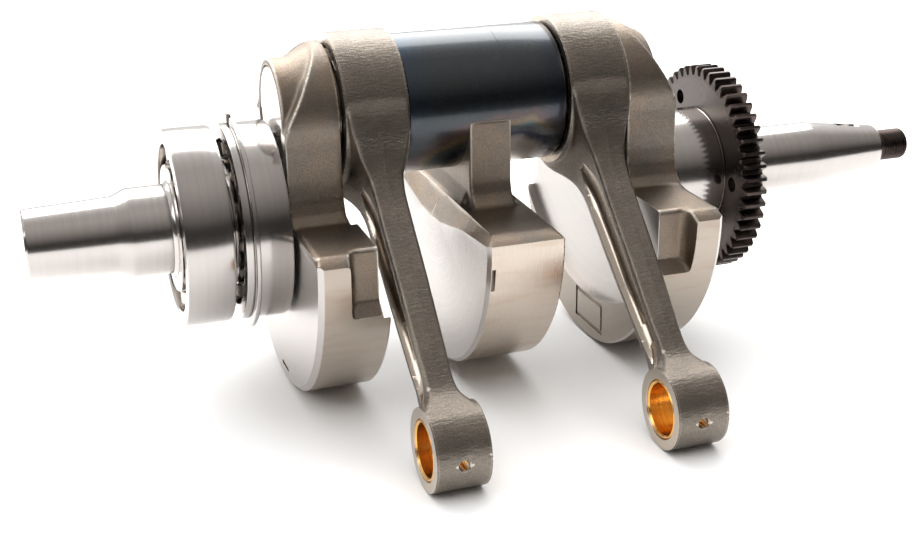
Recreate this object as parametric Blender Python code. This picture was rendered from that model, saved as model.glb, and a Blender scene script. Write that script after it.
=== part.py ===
"""Built-up crankshaft of a small parallel twin: CAD of every separate piece.

The main axis is world X, measured from the flat end of the power take-off (PTO)
shaft at the origin. The two crankpins share one phase and stand straight up (+Z).
The counterweight rims and the small ends of the leaning rods share one floor plane.
Dimensions are in millimetres and become metres when the meshes are made.
"""

import math

import bmesh
import bpy
from mathutils import Matrix, Vector

MM = 0.001

# Main layout
MID = 165.0  # x of the middle of the centre drum
THROW = 38.25  # main axis to crankpin axis
ROD_CENTRE = 42.5  # drum middle to rod middle
WEB_INNER = 55.2  # drum middle to the inner face of an outer web
WEB_OUTER = 75.2  # drum middle to the outer face of an outer web
RIM_R = 65.5  # counterweight rim
PRESS_GAP = 0.15  # radial gap left between pressed pieces
ROUND_STEPS = 52
SHAFT_TWIST = 1.3  # degrees, so that no shaft facet lies in a face of a web

# Crankpins and drum
PIN_R = 18.0
PIN_INSET = 24.0  # depth of a crankpin in the drum
DRUM_R = 25.8
DRUM_HALF = 30.3

# Outer webs and counterweights
ARM_TOP_R = 25.3
PIN_BOSS_R = 20.3
BOSS_END = {-1: 75.0, 1: 70.2}  # drum middle to the end of the pin boss, by side
WEIGHT_INNER = 49.75  # drum middle to the inboard face of an outer counterweight
WEIGHT_TOP = -0.6
TURNED_R = 85.3  # reach, from the crankpin axis, of the turned inboard face
TURNED_FACE = 52.7  # drum middle to that face
ROD_SWING_R = 47.0  # room turned in the webs for the flared rod foot
CENTRE_ARM_HALF = 8.0
CENTRE_ARM_Y = 26.0
CENTRE_RIM_R = 63.2
CENTRE_WEIGHT_HALF = 14.6

# Connecting rods
ROD_LENGTH = 135.6
EYE_R = 28.0
EYE_HALF = 11.6
EYE_BORE_R = 23.4
SMALL_R = 14.2
SMALL_HALF = 9.4
BUSH_R = 10.4
BUSH_BORE_R = 9.1
OIL_HOLE_R = 1.8
OIL_HOLE_DEG = 40.0  # from the rod's own axis towards its front
ROD_LEAN = math.acos((THROW + RIM_R - SMALL_R) / ROD_LENGTH)

# Big-end roller sets
ROLLER_R = 2.5
ROLLER_COUNT = 16
ROLLER_HALF = 10.4

# Ball bearings, 35 x 72 x 17
BEARING_X = (59.7, 80.1)  # middles of the outboard and the inboard bearing
BEARING_HALF = 8.5
RING_OUT_R = 36.0
RING_IN_R = 17.5
PITCH_R = 26.75
BALL_R = 5.45
RACE_R = 5.75
BALL_COUNT = 9
CAGE_HALF = 6.7
SNAP_FROM_FACE = 3.8  # bearing face to the middle of the snap ring

# Gear
GEAR_X = 98.0  # drum middle to the gear's inboard face
GEAR_WIDTH = 9.5
GEAR_TEETH = 50
GEAR_TIP_R = 40.9
GEAR_ROOT_R = 37.3
JOURNAL_R = 24.4

STEEL_DARK = (0.30, 0.27, 0.24, 1.0)
STEEL_BRIGHT = (0.72, 0.70, 0.68, 1.0)
STEEL_BEARING = (0.62, 0.61, 0.60, 1.0)
BRONZE = (0.80, 0.48, 0.16, 1.0)
BLACK_OXIDE = (0.05, 0.045, 0.045, 1.0)
CAGE_STEEL = (0.35, 0.33, 0.31, 1.0)


def clear_scene():
    for obj in list(bpy.data.objects):
        bpy.data.objects.remove(obj, do_unlink=True)


def material(name, colour, roughness, metallic=1.0):
    found = bpy.data.materials.get(name)
    if found:
        return found
    made = bpy.data.materials.new(name)
    made.use_nodes = True
    shader = made.node_tree.nodes["Principled BSDF"]
    shader.inputs["Base Color"].default_value = colour
    shader.inputs["Roughness"].default_value = roughness
    shader.inputs["Metallic"].default_value = metallic
    return made


def make_object(name, bm, look, place=(0.0, 0.0, 0.0)):
    """Turns a millimetre bmesh into a metre mesh object standing at place."""
    bmesh.ops.remove_doubles(bm, verts=bm.verts, dist=1e-4)
    bmesh.ops.recalc_face_normals(bm, faces=bm.faces)
    bmesh.ops.scale(bm, vec=(MM, MM, MM), verts=bm.verts)
    mesh = bpy.data.meshes.new(name)
    bm.to_mesh(mesh)
    bm.free()
    mesh.shade_smooth()
    mesh.set_sharp_from_angle(angle=math.radians(30))
    obj = bpy.data.objects.new(name, mesh)
    obj.location = Vector(place) * MM
    bpy.context.scene.collection.objects.link(obj)
    mesh.materials.append(look)
    return obj


def make_cutter(name, bm, place=(0.0, 0.0, 0.0)):
    tool = make_object(name, bm, material("cutter", (1.0, 0.2, 0.2, 1.0), 0.5, 0.0), place)
    tool.hide_render = True
    tool.display_type = "WIRE"
    return tool


def boolean(obj, tool, operation="DIFFERENCE"):
    step = obj.modifiers.new(tool.name, "BOOLEAN")
    step.operation = operation
    step.solver = "EXACT"
    step.object = tool


# ---- basic shapes, all in millimetres ----


def lathe(profile, steps=ROUND_STEPS, closed=False):
    """Revolves (x, r) points about the X axis; an open profile starts and ends at r 0."""
    bm = bmesh.new()
    verts = [bm.verts.new((x, 0.0, r)) for x, r in profile]
    edges = [bm.edges.new(pair) for pair in zip(verts, verts[1:])]
    if closed:
        edges.append(bm.edges.new((verts[-1], verts[0])))
    bmesh.ops.spin(
        bm,
        geom=verts + edges,
        cent=(0, 0, 0),
        axis=(1, 0, 0),
        angle=math.tau,
        steps=steps,
        use_merge=True,
    )
    bmesh.ops.remove_doubles(bm, verts=bm.verts, dist=1e-4)
    return bm


def tube(half, inner, outer, chamfer, steps=ROUND_STEPS):
    """A ring about X from -half to +half with chamfered edges."""
    profile = [
        (-half, inner + chamfer),
        (-half, outer - chamfer),
        (-half + chamfer, outer),
        (half - chamfer, outer),
        (half, outer - chamfer),
        (half, inner + chamfer),
        (half - chamfer, inner),
        (-half + chamfer, inner),
    ]
    return lathe(profile, steps, closed=True)


def rod_about_x(radius, x0, x1, steps=ROUND_STEPS, chamfer=0.0):
    profile = [(x0, 0.0), (x0, radius - chamfer), (x0 + chamfer, radius)]
    profile += [(x1 - chamfer, radius), (x1, radius - chamfer), (x1, 0.0)]
    return lathe(profile, steps)


def prism_x(outline, x0, x1):
    """Extrudes a (y, z) outline along X."""
    bm = bmesh.new()
    near = [bm.verts.new((x0, y, z)) for y, z in outline]
    far = [bm.verts.new((x1, y, z)) for y, z in outline]
    bm.faces.new(near)
    bm.faces.new(list(reversed(far)))
    for i in range(len(outline)):
        j = (i + 1) % len(outline)
        bm.faces.new((near[i], far[i], far[j], near[j]))
    return bm


def hull(points):
    bm = bmesh.new()
    for point in points:
        bm.verts.new(point)
    made = bmesh.ops.convex_hull(bm, input=bm.verts)
    spare = set(made["geom_interior"]) | set(made["geom_unused"])
    bmesh.ops.delete(bm, geom=[g for g in spare if isinstance(g, bmesh.types.BMVert)], context="VERTS")
    return bm


def loft(sections):
    """Joins closed loops of equal length and caps both ends."""
    bm = bmesh.new()
    loops = [[bm.verts.new(point) for point in section] for section in sections]
    for low, high in zip(loops, loops[1:]):
        for i in range(len(low)):
            j = (i + 1) % len(low)
            bm.faces.new((low[i], low[j], high[j], high[i]))
    bm.faces.new(loops[0])
    bm.faces.new(loops[-1])
    return bm


def arc(radius, start_deg, end_deg, count, centre=(0.0, 0.0)):
    """Points on a circle in a plane, as pairs, from start to end."""
    points = []
    for i in range(count + 1):
        angle = math.radians(start_deg + (end_deg - start_deg) * i / count)
        points.append((centre[0] + radius * math.cos(angle), centre[1] + radius * math.sin(angle)))
    return points


def drill(name, radius, start, end, steps=24):
    """A cylinder cutter between two points."""
    start, end = Vector(start), Vector(end)
    bm = bmesh.new()
    bmesh.ops.create_cone(
        bm,
        cap_ends=True,
        segments=steps,
        radius1=radius,
        radius2=radius,
        depth=(end - start).length,
    )
    turn = (end - start).to_track_quat("Z", "Y").to_matrix().to_4x4()
    bmesh.ops.transform(bm, matrix=turn, verts=bm.verts)
    return make_cutter(name, bm, (start + end) / 2)


# ---- crank halves ----


def outer_web_outline():
    """Side view of an outer web: pin boss on top, arm, and the half disc below."""
    side = [(24.8, 33.0), (24.9, 18.0), (25.7, 12.0), (27.6, 7.4), (31.0, 4.4), (37.0, 3.0), (61.0, 3.4)]
    top = arc(ARM_TOP_R, 0, 180, 28, (0.0, THROW))
    left = [(-y, z) for y, z in side]
    return [(-50.0, -12.0), (50.0, -12.0)] + side[::-1] + top + left


def arm_body(x0, x1):
    return prism_x(outer_web_outline(), x0, x1)


def weight_body(inner, outer, radius, chamfer, ridge):
    """Half disc counterweight whose top corners are rounded towards a flat ridge."""
    start = math.degrees(math.asin(-WEIGHT_TOP / radius))
    rim = arc(radius, -180 + start, -start, 40)
    points = []
    stations = [(inner, chamfer), (inner + chamfer, 0.0), (outer - chamfer, 0.0), (outer, chamfer)]
    for x, radius_cut in stations:
        shrink = 1.0 - radius_cut / radius
        points += [(x, y * shrink, z * shrink) for y, z in rim]
    points += [(x, y, z) for x in ridge[0] for y, z in ridge[1]]
    return hull(points)


def web_bevel(side):
    """The slope that thins the outer face of a web towards its top."""
    profile = [(90.0, 33.0), (76.0, 33.0), (75.1, 35.8), (73.6, 39.6), (71.1, 44.4), (65.8, 53.9)]
    profile += [(60.1, 62.6), (54.0, 70.5), (90.0, 72.0)]
    bm = bmesh.new()
    near = [bm.verts.new((MID + side * x, -40.0, z)) for x, z in profile]
    far = [bm.verts.new((MID + side * x, 40.0, z)) for x, z in profile]
    bm.faces.new(near)
    bm.faces.new(list(reversed(far)))
    for i in range(len(profile)):
        j = (i + 1) % len(profile)
        bm.faces.new((near[i], far[i], far[j], near[j]))
    return bm


def rim_pocket(side, hand):
    """The forged relief high on the inboard edge of a counterweight rim."""
    plan = [(45.0, 70.0), (45.0, 55.6), (60.4, 55.6), (62.6, 58.5), (64.0, 64.0), (64.8, 70.0)]
    floor = [(x, y, -14.4 - 0.85 * (y - 55.6)) for x, y in plan]
    sections = [
        [(MID + side * x, hand * y, z) for x, y, z in floor],
        [(MID + side * x, hand * y, 16.0) for x, y in plan],
    ]
    return loft(sections)


def pin_boss(side):
    """The round boss about the pressed end of a crankpin, tapering out of the bevel."""
    end = BOSS_END[side]
    profile = [(57.0, 0.0), (57.0, 24.6), (60.0, 24.5), (68.6, PIN_BOSS_R)]
    profile += [(end - 0.8, PIN_BOSS_R), (end, PIN_BOSS_R - 0.8), (end, 0.0)]
    return lathe([(MID + side * x, r) for x, r in profile], 44)


def crank_half(name, side, shaft_profile, look):
    """One outer web with its counterweight and the shaft that was forged with it."""
    inner, outer = sorted((MID + side * WEB_INNER, MID + side * WEB_OUTER))
    half = make_object(name, arm_body(inner, outer), look)
    boolean(half, make_cutter(name + "_bevel", web_bevel(side)))
    boolean(half, make_cutter(name + "_pin_boss", pin_boss(side), (0, 0, THROW)), "UNION")
    faces = sorted((MID + side * WEIGHT_INNER, MID + side * (WEB_OUTER - 0.1)))
    crown = [(-63.7, 2.2), (63.7, 2.2), (-61.0, 3.9), (61.0, 3.9), (-28.0, 4.4), (28.0, 4.4)]
    ridge = ((faces[0] + 1.2, faces[1] - 1.2), crown)
    weight = weight_body(faces[0], faces[1], RIM_R, 1.2, ridge)
    boolean(half, make_cutter(name + "_weight", weight), "UNION")
    for hand in (-1, 1):
        boolean(half, make_cutter(f"{name}_pocket_{hand + 1}", rim_pocket(side, hand)))
    facings = [("swing", ROD_SWING_R, WEB_INNER - 0.1, 48), ("turned", TURNED_R, TURNED_FACE, 72)]
    for label, radius, depth, steps in facings:
        low, high = sorted((MID + side * 40.0, MID + side * depth))
        disc = rod_about_x(radius, low, high, steps)
        boolean(half, make_cutter(f"{name}_{label}", disc, (0, 0, THROW)))
    shaft = make_cutter(name + "_shaft", lathe(shaft_profile, 48))
    shaft.rotation_euler = (math.radians(SHAFT_TWIST), 0, 0)
    boolean(half, shaft, "UNION")
    start, end = (MID + side * 40, 0, THROW), (MID + side * 90, 0, THROW)
    boolean(half, drill(name + "_pin_bore", PIN_R + PRESS_GAP, start, end, 48))
    return half


def pto_shaft_profile():
    seat = RING_IN_R - PRESS_GAP
    return [
        (0.0, 0.0),
        (0.0, 12.1),
        (0.7, 12.85),
        (30.8, 14.0),
        (36.4, 16.35),
        (50.2, 16.35),
        (51.2, seat),
        (88.8, seat),
        (88.8, 22.6),
        (96.0, 22.6),
        (96.0, 0.0),
    ]


def flywheel_shaft_profile():
    stations = [
        (70.0, 0.0),
        (70.0, JOURNAL_R),
        (107.9, JOURNAL_R),
        (108.4, JOURNAL_R - 0.5),
        (108.4, 17.0),
        (112.0, 16.6),
        (114.5, 13.4),
        (148.5, 13.4),
        (180.6, 9.1),
        (181.6, 8.0),
        (182.0, 5.7),
        (183.6, 5.7),
        (184.3, 6.4),
        (194.7, 6.4),
        (195.5, 5.6),
        (195.5, 0.0),
    ]
    return [(MID + x, r) for x, r in stations]


def key_seat():
    """Half-moon seat for a key, on top of the flywheel taper."""
    x = MID + 168.6
    return drill("key_seat", 6.6, (x, -2.05, 14.1), (x, 2.05, 14.1), 26)


# ---- centre web, pins ----


def centre_arm_outline():
    side = [(CENTRE_ARM_Y, 12.0), (27.2, 8.0), (29.6, 4.8), (33.5, 2.8), (44.0, 1.6), (58.0, 1.2)]
    left = [(-y, z) for y, z in side]
    foot = [(40.0, -12.0), (-40.0, -12.0)]
    return [(CENTRE_ARM_Y, 34.0)] + side + foot + left[::-1] + [(-CENTRE_ARM_Y, 34.0)]


def centre_web(look):
    drum = rod_about_x(DRUM_R, -DRUM_HALF, DRUM_HALF, ROUND_STEPS, 0.5)
    web = make_object("centre_web", drum, look, (MID, 0, THROW))
    arm = prism_x(centre_arm_outline(), MID - CENTRE_ARM_HALF, MID + CENTRE_ARM_HALF)
    boolean(web, make_cutter("centre_arm", arm), "UNION")
    crown = [(-60.6, 1.9), (60.6, 1.9), (-57.0, 2.9), (57.0, 2.9), (-26.0, 3.6), (26.0, 3.6)]
    ridge = ((MID - 11.6, MID + 11.6), crown)
    weight = weight_body(MID - CENTRE_WEIGHT_HALF, MID + CENTRE_WEIGHT_HALF, CENTRE_RIM_R, 1.3, ridge)
    boolean(web, make_cutter("centre_weight", weight), "UNION")
    for side in (-1, 1):
        mouth = MID + side * (DRUM_HALF + 2)
        floor = MID + side * (DRUM_HALF - PIN_INSET - 0.3)
        bore = drill(f"drum_bore_{side + 1}", PIN_R + PRESS_GAP, (mouth, 0, THROW), (floor, 0, THROW), 48)
        boolean(web, bore)
    return web


def crankpin(name, side, look):
    length = BOSS_END[side] - 0.3 - (DRUM_HALF - PIN_INSET)
    middle = side * (BOSS_END[side] - 0.3 + DRUM_HALF - PIN_INSET) / 2
    bm = rod_about_x(PIN_R, -length / 2, length / 2, 48, 0.8)
    return make_object(name, bm, look, (MID + middle, 0, THROW))


# ---- rods ----


def shank_sections():
    """Six-sided sections down the rod: distance, half width in X, half depth, ridge."""
    rows = [
        (11.0, 11.2, 24.6, 0.0),
        (19.0, 11.1, 23.2, 0.2),
        (25.0, 10.3, 19.8, 0.4),
        (31.0, 8.5, 15.4, 0.5),
        (37.0, 6.5, 12.4, 0.5),
        (44.0, 5.7, 10.6, 0.5),
        (54.0, 5.6, 9.9, 0.5),
        (80.0, 5.5, 9.2, 0.5),
        (104.0, 5.2, 7.9, 0.5),
        (115.0, 5.0, 7.6, 0.5),
        (120.0, 5.7, 8.2, 0.5),
        (124.5, 7.9, 10.2, 0.4),
        (128.5, 9.1, 12.0, 0.2),
        (133.0, 9.1, 13.2, 0.0),
    ]
    sections = []
    for s, a, b, ridge in rows:
        loop = [(-a, -b), (0.0, -b - ridge), (a, -b), (a, b), (0.0, b + ridge), (-a, b)]
        sections.append([(x, y, -s) for x, y in loop])
    return sections


def channel(side):
    """The long pocket in one side of the shank, narrowing to both ends."""
    rows = [(38.0, 3.0, 0.2), (46.0, 5.8, 2.6), (55.0, 6.2, 3.2)]
    rows += [(100.0, 4.6, 3.2), (112.0, 4.0, 2.6), (118.0, 2.0, 0.2)]
    surface = [6.4, 5.7, 5.6, 5.3, 5.1, 5.4]
    sections = []
    for (s, half, depth), skin in zip(rows, surface):
        out = skin + 6.0
        floor = skin - depth
        loop = [(out, -half - 1.6), (floor, -half + 0.8), (floor, half - 0.8), (out, half + 1.6)]
        sections.append([(side * x, y, -s) for x, y in loop])
    return loft(sections)


def connecting_rod(name, x, look):
    """A one-piece rod whose origin is the crankpin axis, leaning out to the floor."""
    rod = make_object(name, rod_about_x(EYE_R, -EYE_HALF, EYE_HALF, ROUND_STEPS, 0.7), look)
    tools = [
        (loft(shank_sections()), "shank", "UNION"),
        (rod_about_x(SMALL_R, -SMALL_HALF, SMALL_HALF, 48, 0.6), "small_eye", "UNION"),
        (channel(-1), "channel_left", "DIFFERENCE"),
        (channel(1), "channel_right", "DIFFERENCE"),
    ]
    for bm, label, operation in tools:
        place = (0, 0, -ROD_LENGTH) if label == "small_eye" else (0, 0, 0)
        tool = make_cutter(f"{name}_{label}", bm, place)
        tool.parent = rod
        boolean(rod, tool, operation)
    holes = [
        (EYE_BORE_R, (-20, 0, 0), (20, 0, 0), 48),
        (BUSH_R + PRESS_GAP, (-20, 0, -ROD_LENGTH), (20, 0, -ROD_LENGTH), 32),
        (OIL_HOLE_R, oil_hole_point(8.0), oil_hole_point(20.0), 12),
    ]
    for i, (radius, start, end, steps) in enumerate(holes):
        tool = drill(f"{name}_hole_{i}", radius, start, end, steps)
        tool.parent = rod
        boolean(rod, tool)
    rod.location = Vector((x, 0, THROW)) * MM
    rod.rotation_euler = (-ROD_LEAN, 0, 0)
    return rod


def oil_hole_point(distance):
    """A point on the small-end oil hole's axis, which leaves low on the rod's front."""
    angle = math.radians(OIL_HOLE_DEG)
    return Vector((0.03, -distance * math.sin(angle), -ROD_LENGTH - distance * math.cos(angle)))


def small_end_bush(name, rod, look):
    bush = make_object(name, tube(SMALL_HALF - 0.1, BUSH_BORE_R, BUSH_R, 0.35, 32), look)
    inner = Vector((0, 0, -ROD_LENGTH))
    start, end = oil_hole_point(8.0) - inner, oil_hole_point(20.0) - inner
    hole = drill(f"{name}_oil_hole", OIL_HOLE_R, start, end, 12)
    hole.parent = bush
    boolean(bush, hole)
    bush.parent = rod
    bush.location = inner * MM
    return bush


def roller_set(name, x, look):
    """Needle rollers and their cage as one scalloped ring."""
    middle = (PIN_R + EYE_BORE_R) / 2
    outer, inner = [], []
    for i in range(ROLLER_COUNT):
        mid = math.tau * i / ROLLER_COUNT
        for offset, bulge in ((-0.11, 2.05), (-0.05, 2.42), (0.05, 2.42), (0.11, 2.05)):
            angle = mid + offset
            outer.append((math.cos(angle) * (middle + bulge), math.sin(angle) * (middle + bulge)))
            inner.append((math.cos(angle) * (middle - bulge), math.sin(angle) * (middle - bulge)))
        angle = mid + math.pi / ROLLER_COUNT
        outer.append((math.cos(angle) * (middle + 1.2), math.sin(angle) * (middle + 1.2)))
        inner.append((math.cos(angle) * (middle - 1.2), math.sin(angle) * (middle - 1.2)))
    bm = bmesh.new()
    rings = []
    corners = [(-ROLLER_HALF, outer), (ROLLER_HALF, outer), (ROLLER_HALF, inner), (-ROLLER_HALF, inner)]
    for x_face, loop in corners:
        rings.append([bm.verts.new((x_face, y, z)) for y, z in loop])
    for ring, following in zip(rings, rings[1:] + rings[:1]):
        for i in range(len(ring)):
            j = (i + 1) % len(ring)
            bm.faces.new((ring[i], ring[j], following[j], following[i]))
    return make_object(name, bm, look, (x, 0, THROW))


# ---- ball bearings ----


def race_arc(start_deg, end_deg, count=6):
    return [(x, PITCH_R + r) for x, r in arc(RACE_R, start_deg, end_deg, count)]


def outer_ring(name, x, look, groove_at=None):
    h, c = BEARING_HALF, 1.1
    profile = [(-h, 30.4), (-h, RING_OUT_R - c), (-h + c, RING_OUT_R)]
    if groove_at is not None:
        for x_wall, r in ((-1.1, RING_OUT_R), (-1.1, 34.2), (1.1, 34.2), (1.1, RING_OUT_R)):
            profile.append((groove_at + x_wall, r))
    profile += [(h - c, RING_OUT_R), (h, RING_OUT_R - c), (h, 30.4)]
    profile += race_arc(38, 142, 5)
    return make_object(name, lathe(profile, 40, closed=True), look, (x, 0, 0))


def inner_ring(name, x, look):
    h, c = BEARING_HALF, 0.9
    profile = [(h, 23.2), (h, RING_IN_R + c), (h - c, RING_IN_R)]
    profile += [(-h + c, RING_IN_R), (-h, RING_IN_R + c), (-h, 23.2)]
    profile += race_arc(-142, -38, 5)
    return make_object(name, lathe(profile, 36, closed=True), look, (x, 0, 0))


def ball_cage(name, x, look):
    band = [(-CAGE_HALF, 25.6), (-CAGE_HALF, 27.9), (CAGE_HALF, 27.9), (CAGE_HALF, 25.6)]
    cage = make_object(name, lathe(band, 36, closed=True), look, (x, 0, 0))
    for i in range(BALL_COUNT):
        y, z = ball_centre(i)
        radial = Vector((0, y, z)).normalized()
        start = Vector((x, 0, 0)) + radial * 20
        boolean(cage, drill(f"{name}_pocket_{i}", 5.75, start, start + radial * 14, 14))
    return cage


def ball_centre(i):
    angle = math.tau * (i + 0.5) / BALL_COUNT
    return PITCH_R * math.sin(angle), PITCH_R * math.cos(angle)


def ball(name, x, i, look):
    bm = bmesh.new()
    bmesh.ops.create_uvsphere(bm, u_segments=12, v_segments=7, radius=BALL_R)
    y, z = ball_centre(i)
    return make_object(name, bm, look, (x, y, z))


def snap_ring(x, look):
    """An open wire ring sitting in the groove of the inboard bearing."""
    sections = []
    gap_deg = 8.0
    count = 45
    for i in range(count + 1):
        angle = math.radians(gap_deg / 2 + (360.0 - gap_deg) * i / count)
        loop = []
        for dx, r in ((-0.85, 34.5), (-0.85, 39.0), (-0.5, 39.35), (0.5, 39.35), (0.85, 39.0), (0.85, 34.5)):
            loop.append((dx, -r * math.sin(angle), r * math.cos(angle)))
        sections.append(loop)
    return make_object("snap_ring", loft(sections), look, (x, 0, 0))


def ball_bearing(label, x, looks, groove_at=None):
    outer_ring(f"{label}_outer_ring", x, looks["bearing"], groove_at)
    inner_ring(f"{label}_inner_ring", x, looks["bearing"])
    ball_cage(f"{label}_cage", x, looks["cage"])
    for i in range(BALL_COUNT):
        ball(f"{label}_ball_{i + 1}", x, i, looks["bearing"])


# ---- gear ----


def gear_outline():
    """Spur teeth as trapezoids with a short root between them."""
    step = math.tau / GEAR_TEETH
    flank = [(0.34, GEAR_ROOT_R), (0.24, 39.3), (0.13, GEAR_TIP_R)]
    tooth = [(-share, radius) for share, radius in flank] + flank[::-1]
    points = []
    for i in range(GEAR_TEETH):
        mid = i * step
        for share, radius in tooth:
            angle = mid + share * step
            points.append((radius * math.cos(angle), radius * math.sin(angle)))
    return points


def timing_gear(look):
    x0 = MID + GEAR_X
    gear = make_object("drive_gear", prism_x(gear_outline(), x0, x0 + GEAR_WIDTH), look)
    holes = [("gear_bore", JOURNAL_R + PRESS_GAP, 0.0, 0.0, 56)]
    holes += [("gear_puller_hole_1", 2.9, 14.9, 25.8, 20), ("gear_puller_hole_2", 2.9, -29.9, 0.9, 20)]
    for name, radius, y, z, steps in holes:
        boolean(gear, drill(name, radius, (x0 - 5, y, z), (x0 + GEAR_WIDTH + 5, y, z), steps))
    return gear


def main():
    clear_scene()
    looks = {
        "forged": material("forged_steel", STEEL_DARK, 0.45),
        "rod": material("shot_peened_steel", STEEL_DARK, 0.5),
        "bright": material("ground_steel", STEEL_BRIGHT, 0.25),
        "bearing": material("bearing_steel", STEEL_BEARING, 0.2),
        "cage": material("cage_steel", CAGE_STEEL, 0.4),
        "bronze": material("bronze", BRONZE, 0.25),
        "black": material("black_oxide", BLACK_OXIDE, 0.4),
    }
    crank_half("pto_crank_half", -1, pto_shaft_profile(), looks["forged"])
    flywheel = crank_half("flywheel_crank_half", 1, flywheel_shaft_profile(), looks["forged"])
    boolean(flywheel, key_seat())
    centre_web(looks["forged"])
    for label, side in (("pto", -1), ("flywheel", 1)):
        crankpin(f"{label}_crankpin", side, looks["bright"])
        x = MID + side * ROD_CENTRE
        rod = connecting_rod(f"{label}_rod", x, looks["rod"])
        small_end_bush(f"{label}_small_end_bush", rod, looks["bronze"])
        roller_set(f"{label}_big_end_rollers", x, looks["bearing"])
    groove_at = -BEARING_HALF + SNAP_FROM_FACE
    ball_bearing("outboard_bearing", BEARING_X[0], looks)
    ball_bearing("inboard_bearing", BEARING_X[1], looks, groove_at)
    snap_ring(BEARING_X[1] + groove_at, looks["bright"])
    timing_gear(looks["black"])


main()
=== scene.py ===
"""Looks of a built-up twin crankshaft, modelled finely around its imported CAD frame.

Each CAD node is stood for by one or more detailed pieces that ride on the same body.
Sizes in the code are millimetres in the shared frame: X runs along the main axis from
the power take-off (PTO) end, and +Z points up the crank throw.
"""

import math

import bmesh
import bpy
from bpy.props import FloatProperty, FloatVectorProperty, IntProperty, PointerProperty
from mathutils import Matrix, Vector


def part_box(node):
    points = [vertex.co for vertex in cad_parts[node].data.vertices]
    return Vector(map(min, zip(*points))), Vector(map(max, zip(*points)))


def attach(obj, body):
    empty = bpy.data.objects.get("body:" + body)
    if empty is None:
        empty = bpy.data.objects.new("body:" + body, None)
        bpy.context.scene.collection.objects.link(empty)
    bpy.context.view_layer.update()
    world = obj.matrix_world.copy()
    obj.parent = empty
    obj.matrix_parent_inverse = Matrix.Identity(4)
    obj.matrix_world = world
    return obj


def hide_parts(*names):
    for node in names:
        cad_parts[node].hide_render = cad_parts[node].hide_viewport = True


bl_info = {
    "name": "Twin crankshaft looks",
    "version": (1, 0, 0),
    "blender": (4, 5, 0),
    "location": "View3D > Sidebar > Crankshaft",
    "description": "Builds the detailed pieces and finishes of a built-up twin crankshaft",
    "category": "Object",
}

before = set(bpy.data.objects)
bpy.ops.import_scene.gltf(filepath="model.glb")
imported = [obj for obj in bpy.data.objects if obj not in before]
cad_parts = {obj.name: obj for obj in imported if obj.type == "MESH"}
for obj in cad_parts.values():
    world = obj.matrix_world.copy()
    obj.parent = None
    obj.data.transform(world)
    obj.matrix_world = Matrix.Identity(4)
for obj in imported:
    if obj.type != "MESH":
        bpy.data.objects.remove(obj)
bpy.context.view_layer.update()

MM = 0.001


def cad_mm(node, corner, axis):
    """One coordinate of a CAD node's box, in millimetres; corner 0 is low and 1 is high."""
    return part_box(node)[corner][axis] / MM


# Main layout, read from the frame
MID = (cad_mm("centre_web", 0, 0) + cad_mm("centre_web", 1, 0)) / 2
PIN_Z = (cad_mm("pto_crankpin", 0, 2) + cad_mm("pto_crankpin", 1, 2)) / 2
RIM_R = -cad_mm("pto_crank_half", 0, 2)
SHAFT_END = cad_mm("flywheel_crank_half", 1, 0)
GEAR_X = (cad_mm("drive_gear", 0, 0), cad_mm("drive_gear", 1, 0))
ROD_X = {
    "pto": (cad_mm("pto_rod", 0, 0) + cad_mm("pto_rod", 1, 0)) / 2,
    "flywheel": (cad_mm("flywheel_rod", 0, 0) + cad_mm("flywheel_rod", 1, 0)) / 2,
}
BEARING_X = {
    "outboard": (cad_mm("outboard_bearing_cage", 0, 0) + cad_mm("outboard_bearing_cage", 1, 0)) / 2,
    "inboard": (cad_mm("inboard_bearing_cage", 0, 0) + cad_mm("inboard_bearing_cage", 1, 0)) / 2,
}
SNAP_X = (cad_mm("snap_ring", 0, 0) + cad_mm("snap_ring", 1, 0)) / 2
SIDES = {"pto": -1, "flywheel": 1}

# Webs
WEB_INNER = 55.2
WEB_OUTER = 75.2
WEIGHT_INNER = 49.75
ARM_TOP_R = 25.3
PIN_BOSS_R = 20.3
BOSS_END = {"pto": 75.0, "flywheel": 70.0}
TURNED_R = 85.3
TURNED_FACE = 52.7
SWING_R = 47.0
CENTRE_RIM_R = 63.2
CENTRE_LEFT = -14.8
CENTRE_RIGHT = 14.0
CENTRE_ARM_HALF = 8.0
CENTRE_ARM_Y = 26.0
WEB_VOXEL = 0.7
BEYOND_R = 95.0  # radius that clears every web, for cutters
MARK_Y = (-18.0, 7.5)
MARK_Z = (-60.0, -47.2)
MARK_LINE = 1.6
MARK_DEPTH = 0.45

# Rods
ROD_VOXEL = 0.5
EYE_R = 28.0
EYE_HALF = 11.6
EYE_BORE_R = 23.4
SMALL_R = 14.2
SMALL_HALF = 9.4
BUSH_R = 10.4
BUSH_BORE_R = 9.1
OIL_ANGLE = math.radians(40.0)  # from the rod's own axis towards its front
OIL_HOLE_R = 1.75

# Bearings, 35 x 72 x 17
BEARING_HALF = 8.5
RING_OUT_R = 36.0
RING_IN_R = 17.5
PITCH_R = 26.75
BALL_R = 5.45
RACE_R = 5.75
BALL_COUNT = 9
CAGE_THICK = 0.9

# Rollers
PIN_R = 18.0
ROLLER_COUNT = 16
ROLLER_R = 2.45
ROLLER_HALF = 10.3

JOURNAL_R = 24.4
GEAR_TEETH = 50
THREAD_PITCH = 1.25
THREAD_DEPTH = 0.8
THREAD_R = 6.4

# Stage, in metres
FLOOR_R = 0.82
FLOOR_MIDDLE = (0.18, 0.37)
LENS_MM = 56.288
CAMERA_PLACE = (-0.010116, -0.496951, 0.166481)
CAMERA_RIGHT = (0.944052, -0.329559, -0.012506)
CAMERA_UP = (0.126446, 0.326672, 0.936641)


# ---- settings a user would change ----


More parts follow.
